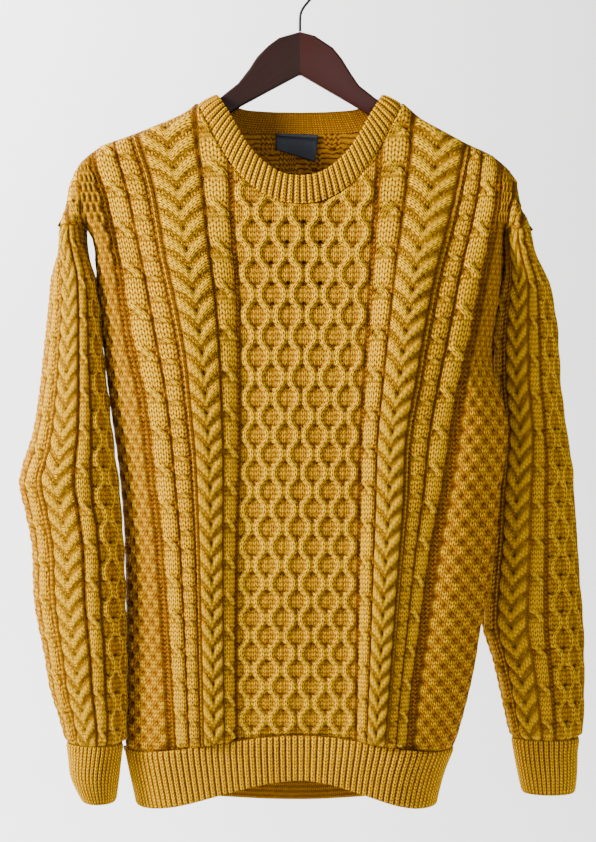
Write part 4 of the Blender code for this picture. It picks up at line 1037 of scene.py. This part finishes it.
def makeYarn(name):
    paint = Paint(name)
    place = paint.node("ShaderNodeUVMap", {"uv_map": "knit"})
    across, along = paint.split("ShaderNodeSeparateXYZ", place, 2)
    tone = paint.node("ShaderNodeAttribute", {"attribute_name": "tone"})
    raised, gapShade, purl = paint.split("ShaderNodeSeparateColor", tone, 3)
    spot = paint.spot()

    # Each stitch is two legs that meet below, one stitch wide and one row tall
    wobble = paint.noise(spot, 260.0, 2.0) - 0.5
    column = (across + wobble * 0.22).part()
    fromMiddle = abs(2 * column - 1)
    row = (along + wobble * 0.30 + yarn["legSlant"] * fromMiddle).part()
    leg = (2 * column).part()
    plump = abs(2 * leg - 1) ** 2.4
    loop = abs(2 * row - 1) ** 2.4
    knit = (1 - plump * 0.78 - loop * 0.70).atLeast(0.0) ** 0.6
    ridge = abs(2 * (along + 0.22 * (across * 6.2832).sine() + wobble * 0.3).part() - 1) ** 2.0
    bead = abs(2 * column - 1) ** 2.0
    knot = (1 - ridge * 0.95 - bead * 0.45).atLeast(0.0) ** 0.6
    stitch = knit * (1 - purl) + knot * 0.8 * purl

    strands = paint.noise(spot, 1500.0, 3.0, 0.6)
    fibre = paint.noise(spot, 700.0, 4.0, 0.7)
    broad = paint.noise(spot, 14.0, 2.0)
    # Painted shade and highlight: stitch legs and raised parts are painted lighter, the gaps between
    # loops and sunk parts darker; the fibre and broad noise are the yarn's own uneven tone.
    shade = stitch * 1.10 + raised * 0.50 - 0.42 + (fibre - 0.5) * 0.6 + (broad - 0.5) * 0.2
    body = paint.mixed(shade.clamped(), yarn["shadeDeep"], yarn["base"])
    # painted highlight on the brightest stitch tops
    lift = ((shade - 0.60) * 1.7).clamped()
    body = paint.mixed(lift, body, yarn["light"])
    pale = ((strands - 0.60) * 7.0).clamped()
    body = paint.mixed(pale * 0.55, body, yarn["fleckPale"])
    pink = ((0.40 - strands) * 7.0).clamped()
    body = paint.mixed(pink * 0.28, body, yarn["fleckPink"])
    # painted shade: holes, grooves and slits turn near black
    body = paint.mixed(gapShade.atMost(1.0), body, yarn["gapShade"])
    height = stitch + (strands - 0.5) * 0.5 + (fibre - 0.5) * 0.4
    bump = paint.bump(0.85, yarn["bump"], height)
    rough = (0.92 - stitch * 0.08).atMost(1.0)
    return paint.finish(Base_Color=body, Roughness=rough, Normal=bump, Specular_IOR_Level=0.05)


def makeSatin():
    paint = Paint("darkSatin")
    place = paint.node("ShaderNodeUVMap", {"uv_map": "knit"})
    across, down = paint.split("ShaderNodeSeparateXYZ", place, 2)
    threads = (across * 420.0).sine() * 0.5 + 0.5
    rows = (down * 300.0).sine() * 0.5 + 0.5
    weave = threads * 0.6 + rows * 0.4
    spot = paint.spot()
    wear = paint.noise(spot, 180.0, 3.0)
    tint = paint.mixed(weave * 0.5 + (wear - 0.5) * 0.5, (0.006, 0.008, 0.014, 1),
                       (0.035, 0.045, 0.07, 1))
    folded = ((0.17 - down) * 60.0).clamped()
    tint = paint.mixed(folded * 0.5, tint, (0.004, 0.005, 0.008, 1))
    bump = paint.bump(0.35, 0.0002, weave)
    return paint.finish(Base_Color=tint, Roughness=0.38 + wear * 0.15, Normal=bump,
                        Specular_IOR_Level=0.5)


def makeWood():
    paint = Paint("stainedWood")
    spot = paint.spot()
    x, _, z = paint.split("ShaderNodeSeparateXYZ", spot, 3)
    # The grain of each half follows its arm
    lean = z + abs(x) * 0.75
    stretched = paint.node("ShaderNodeCombineXYZ", {}, {0: x * 14.0, 1: 0.0, 2: lean * 330.0})
    grain = paint.noise(stretched, 1.0, 5.0, 0.62)
    pores = paint.noise(stretched, 4.0, 2.0, 0.5)
    tint = paint.mixed(grain, (0.005, 0.0016, 0.001, 1), (0.024, 0.004, 0.002, 1))
    # Painted light: the right half is painted a brighter red, standing in for how the light falls on
    # that arm
    right = (x * 900.0 + 0.5).clamped()
    tint = paint.mixed(right * 0.5, tint, (0.050, 0.006, 0.003, 1))
    seam = (1 - abs(x) * 2600.0).atLeast(0.0)
    tint = paint.mixed(seam * 0.7, tint, (0.004, 0.002, 0.002, 1))
    tint = paint.mixed(((pores - 0.62) * 9.0).clamped() * 0.6, tint, (0.008, 0.003, 0.002, 1))
    height = grain * 0.5 + pores * 0.3 - seam
    bump = paint.bump(0.25, 0.0004, height)
    return paint.finish(Base_Color=tint, Roughness=0.34 + grain * 0.20, Normal=bump,
                        Specular_IOR_Level=0.22)


def makeWire():
    paint = Paint("blackWire")
    spot = paint.spot()
    worn = paint.noise(spot, 420.0, 3.0)
    tint = paint.mixed(((worn - 0.55) * 4.0).clamped(), (0.006, 0.006, 0.007, 1),
                       (0.030, 0.029, 0.028, 1))
    bump = paint.bump(0.2, 0.0002, worn)
    return paint.finish(Base_Color=tint, Roughness=0.30 + worn * 0.2, Normal=bump, Metallic=0.6)


def makeWall(name, tint):
    paint = Paint(name)
    spot = paint.spot()
    plaster = paint.noise(spot, 9.0, 5.0, 0.6)
    tone = paint.mixed(plaster, tuple(c * 0.97 for c in tint[:3]) + (1,), tint)
    bump = paint.bump(0.12, 0.004, plaster)
    return paint.finish(Base_Color=tone, Roughness=0.9, Normal=bump)


knitYarn = makeYarn("heatheredKnit")
ribYarn = makeYarn("heatheredRib")
satin = makeSatin()
wood = makeWood()
blackWire = makeWire()
print("finishes ready")


def put(piece, slot, *nodes):
    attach(piece, "root")
    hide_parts(*nodes)
    print(piece.name, len(piece.data.polygons), "faces")


put(makePanel("cabledFront", front, knitYarn), "knit", "front")
put(makePanel("cabledBack", back, knitYarn), "knit", "back")
put(makeHem("ribHemFront", front, ribYarn), "rib_knit", "hem_front")
put(makeHem("ribHemBack", back, ribYarn), "rib_knit", "hem_back")
put(makeSleeve("cabledSleeveRight", -1, knitYarn), "knit", "sleeve_wearer_right")
put(makeSleeve("cabledSleeveLeft", 1, knitYarn), "knit", "sleeve_wearer_left")
put(makeCuff("ribCuffRight", -1, ribYarn), "rib_knit", "cuff_wearer_right")
put(makeCuff("ribCuffLeft", 1, ribYarn), "rib_knit", "cuff_wearer_left")
put(makeNeckband("ribNeckband", ribYarn), "rib_knit", "neckband")
put(makeLabel(satin), "satin", "label")
put(makeHanger(wood), "wood", "hanger")
put(makeHook(blackWire), "wire", "hook")

stage = {"wallAt": 4.6, "floorAt": -1.7, "half": 9.0, "bend": 1.2}


def makeStage():
    bpy.ops.object.select_all(action="DESELECT")
    bpy.ops.mesh.primitive_grid_add(x_subdivisions=2, y_subdivisions=40, size=1.0)
    sweep = bpy.context.object
    sweep.name = "paleFloorAndWall"
    reach = stage["wallAt"] + stage["half"]
    for spot in sweep.data.vertices:
        x, run = spot.co.x * 2 * stage["half"], (spot.co.y + 0.5) * (reach + 6.0)
        flat = run - (reach - stage["bend"])
        if flat <= 0:
            y, z = run - stage["half"], 0.0
        elif flat < stage["bend"] * math.pi / 2:
            turn = flat / stage["bend"]
            y = stage["wallAt"] - stage["bend"] + stage["bend"] * math.sin(turn)
            z = stage["bend"] * (1 - math.cos(turn))
        else:
            y, z = stage["wallAt"], stage["bend"] + flat - stage["bend"] * math.pi / 2
        spot.co = (x, y, z + stage["floorAt"])
    bpy.ops.object.mode_set(mode="EDIT")
    bpy.ops.mesh.select_all(action="SELECT")
    bpy.ops.mesh.subdivide(number_cuts=1)
    bpy.ops.object.mode_set(mode="OBJECT")
    bpy.ops.object.shade_smooth()
    sweep.data.materials.append(makeWall("paleWall", (0.83, 0.83, 0.825, 1)))


makeStage()
print("stage ready")

view = {"place": (-0.002, -2.5, -0.4795), "lens": 106.9}
lamps = {
    "key": {"place": (-1.8, -0.85, 0.35), "size": 0.55, "power": 145, "tint": (1.0, 0.98, 0.94)},
    "fill": {"place": (0.8, -3.0, 0.2), "size": 1.2, "power": 34, "tint": (1.0, 1.0, 1.0)},
    "top": {"place": (0.1, -0.7, 2.3), "size": 1.2, "power": 30, "tint": (1.0, 1.0, 1.0)},
    "wall": {"place": (-3.1, 2.7, 1.9), "size": 2.4, "power": 900, "tint": (1.0, 1.0, 1.0)},
}


def aimed(place, target):
    return (Vector(target) - Vector(place)).to_track_quat("-Z", "Y").to_euler()


lens = bpy.data.cameras.new("view")
lens.lens = view["lens"]
lens.sensor_width = 36.0
camera = bpy.data.objects.new("view", lens)
camera.location = view["place"]
camera.rotation_euler = (math.radians(90), 0, 0)
bpy.context.scene.collection.objects.link(camera)
bpy.context.scene.camera = camera
for name, lamp in lamps.items():
    light = bpy.data.lights.new(name, "AREA")
    light.size, light.energy, light.color = lamp["size"], lamp["power"], lamp["tint"]
    holder = bpy.data.objects.new(name, light)
    holder.location = lamp["place"]
    holder.rotation_euler = aimed(lamp["place"], (0, 4.5, -0.5) if name == "wall" else (0, 0, -0.5))
    bpy.context.scene.collection.objects.link(holder)
world = bpy.data.worlds.new("paleRoom")
world.use_nodes = True
world.node_tree.nodes["Background"].inputs["Color"].default_value = (0.92, 0.94, 1.0, 1)
world.node_tree.nodes["Background"].inputs["Strength"].default_value = 0.20
bpy.context.scene.world = world
print("light ready")
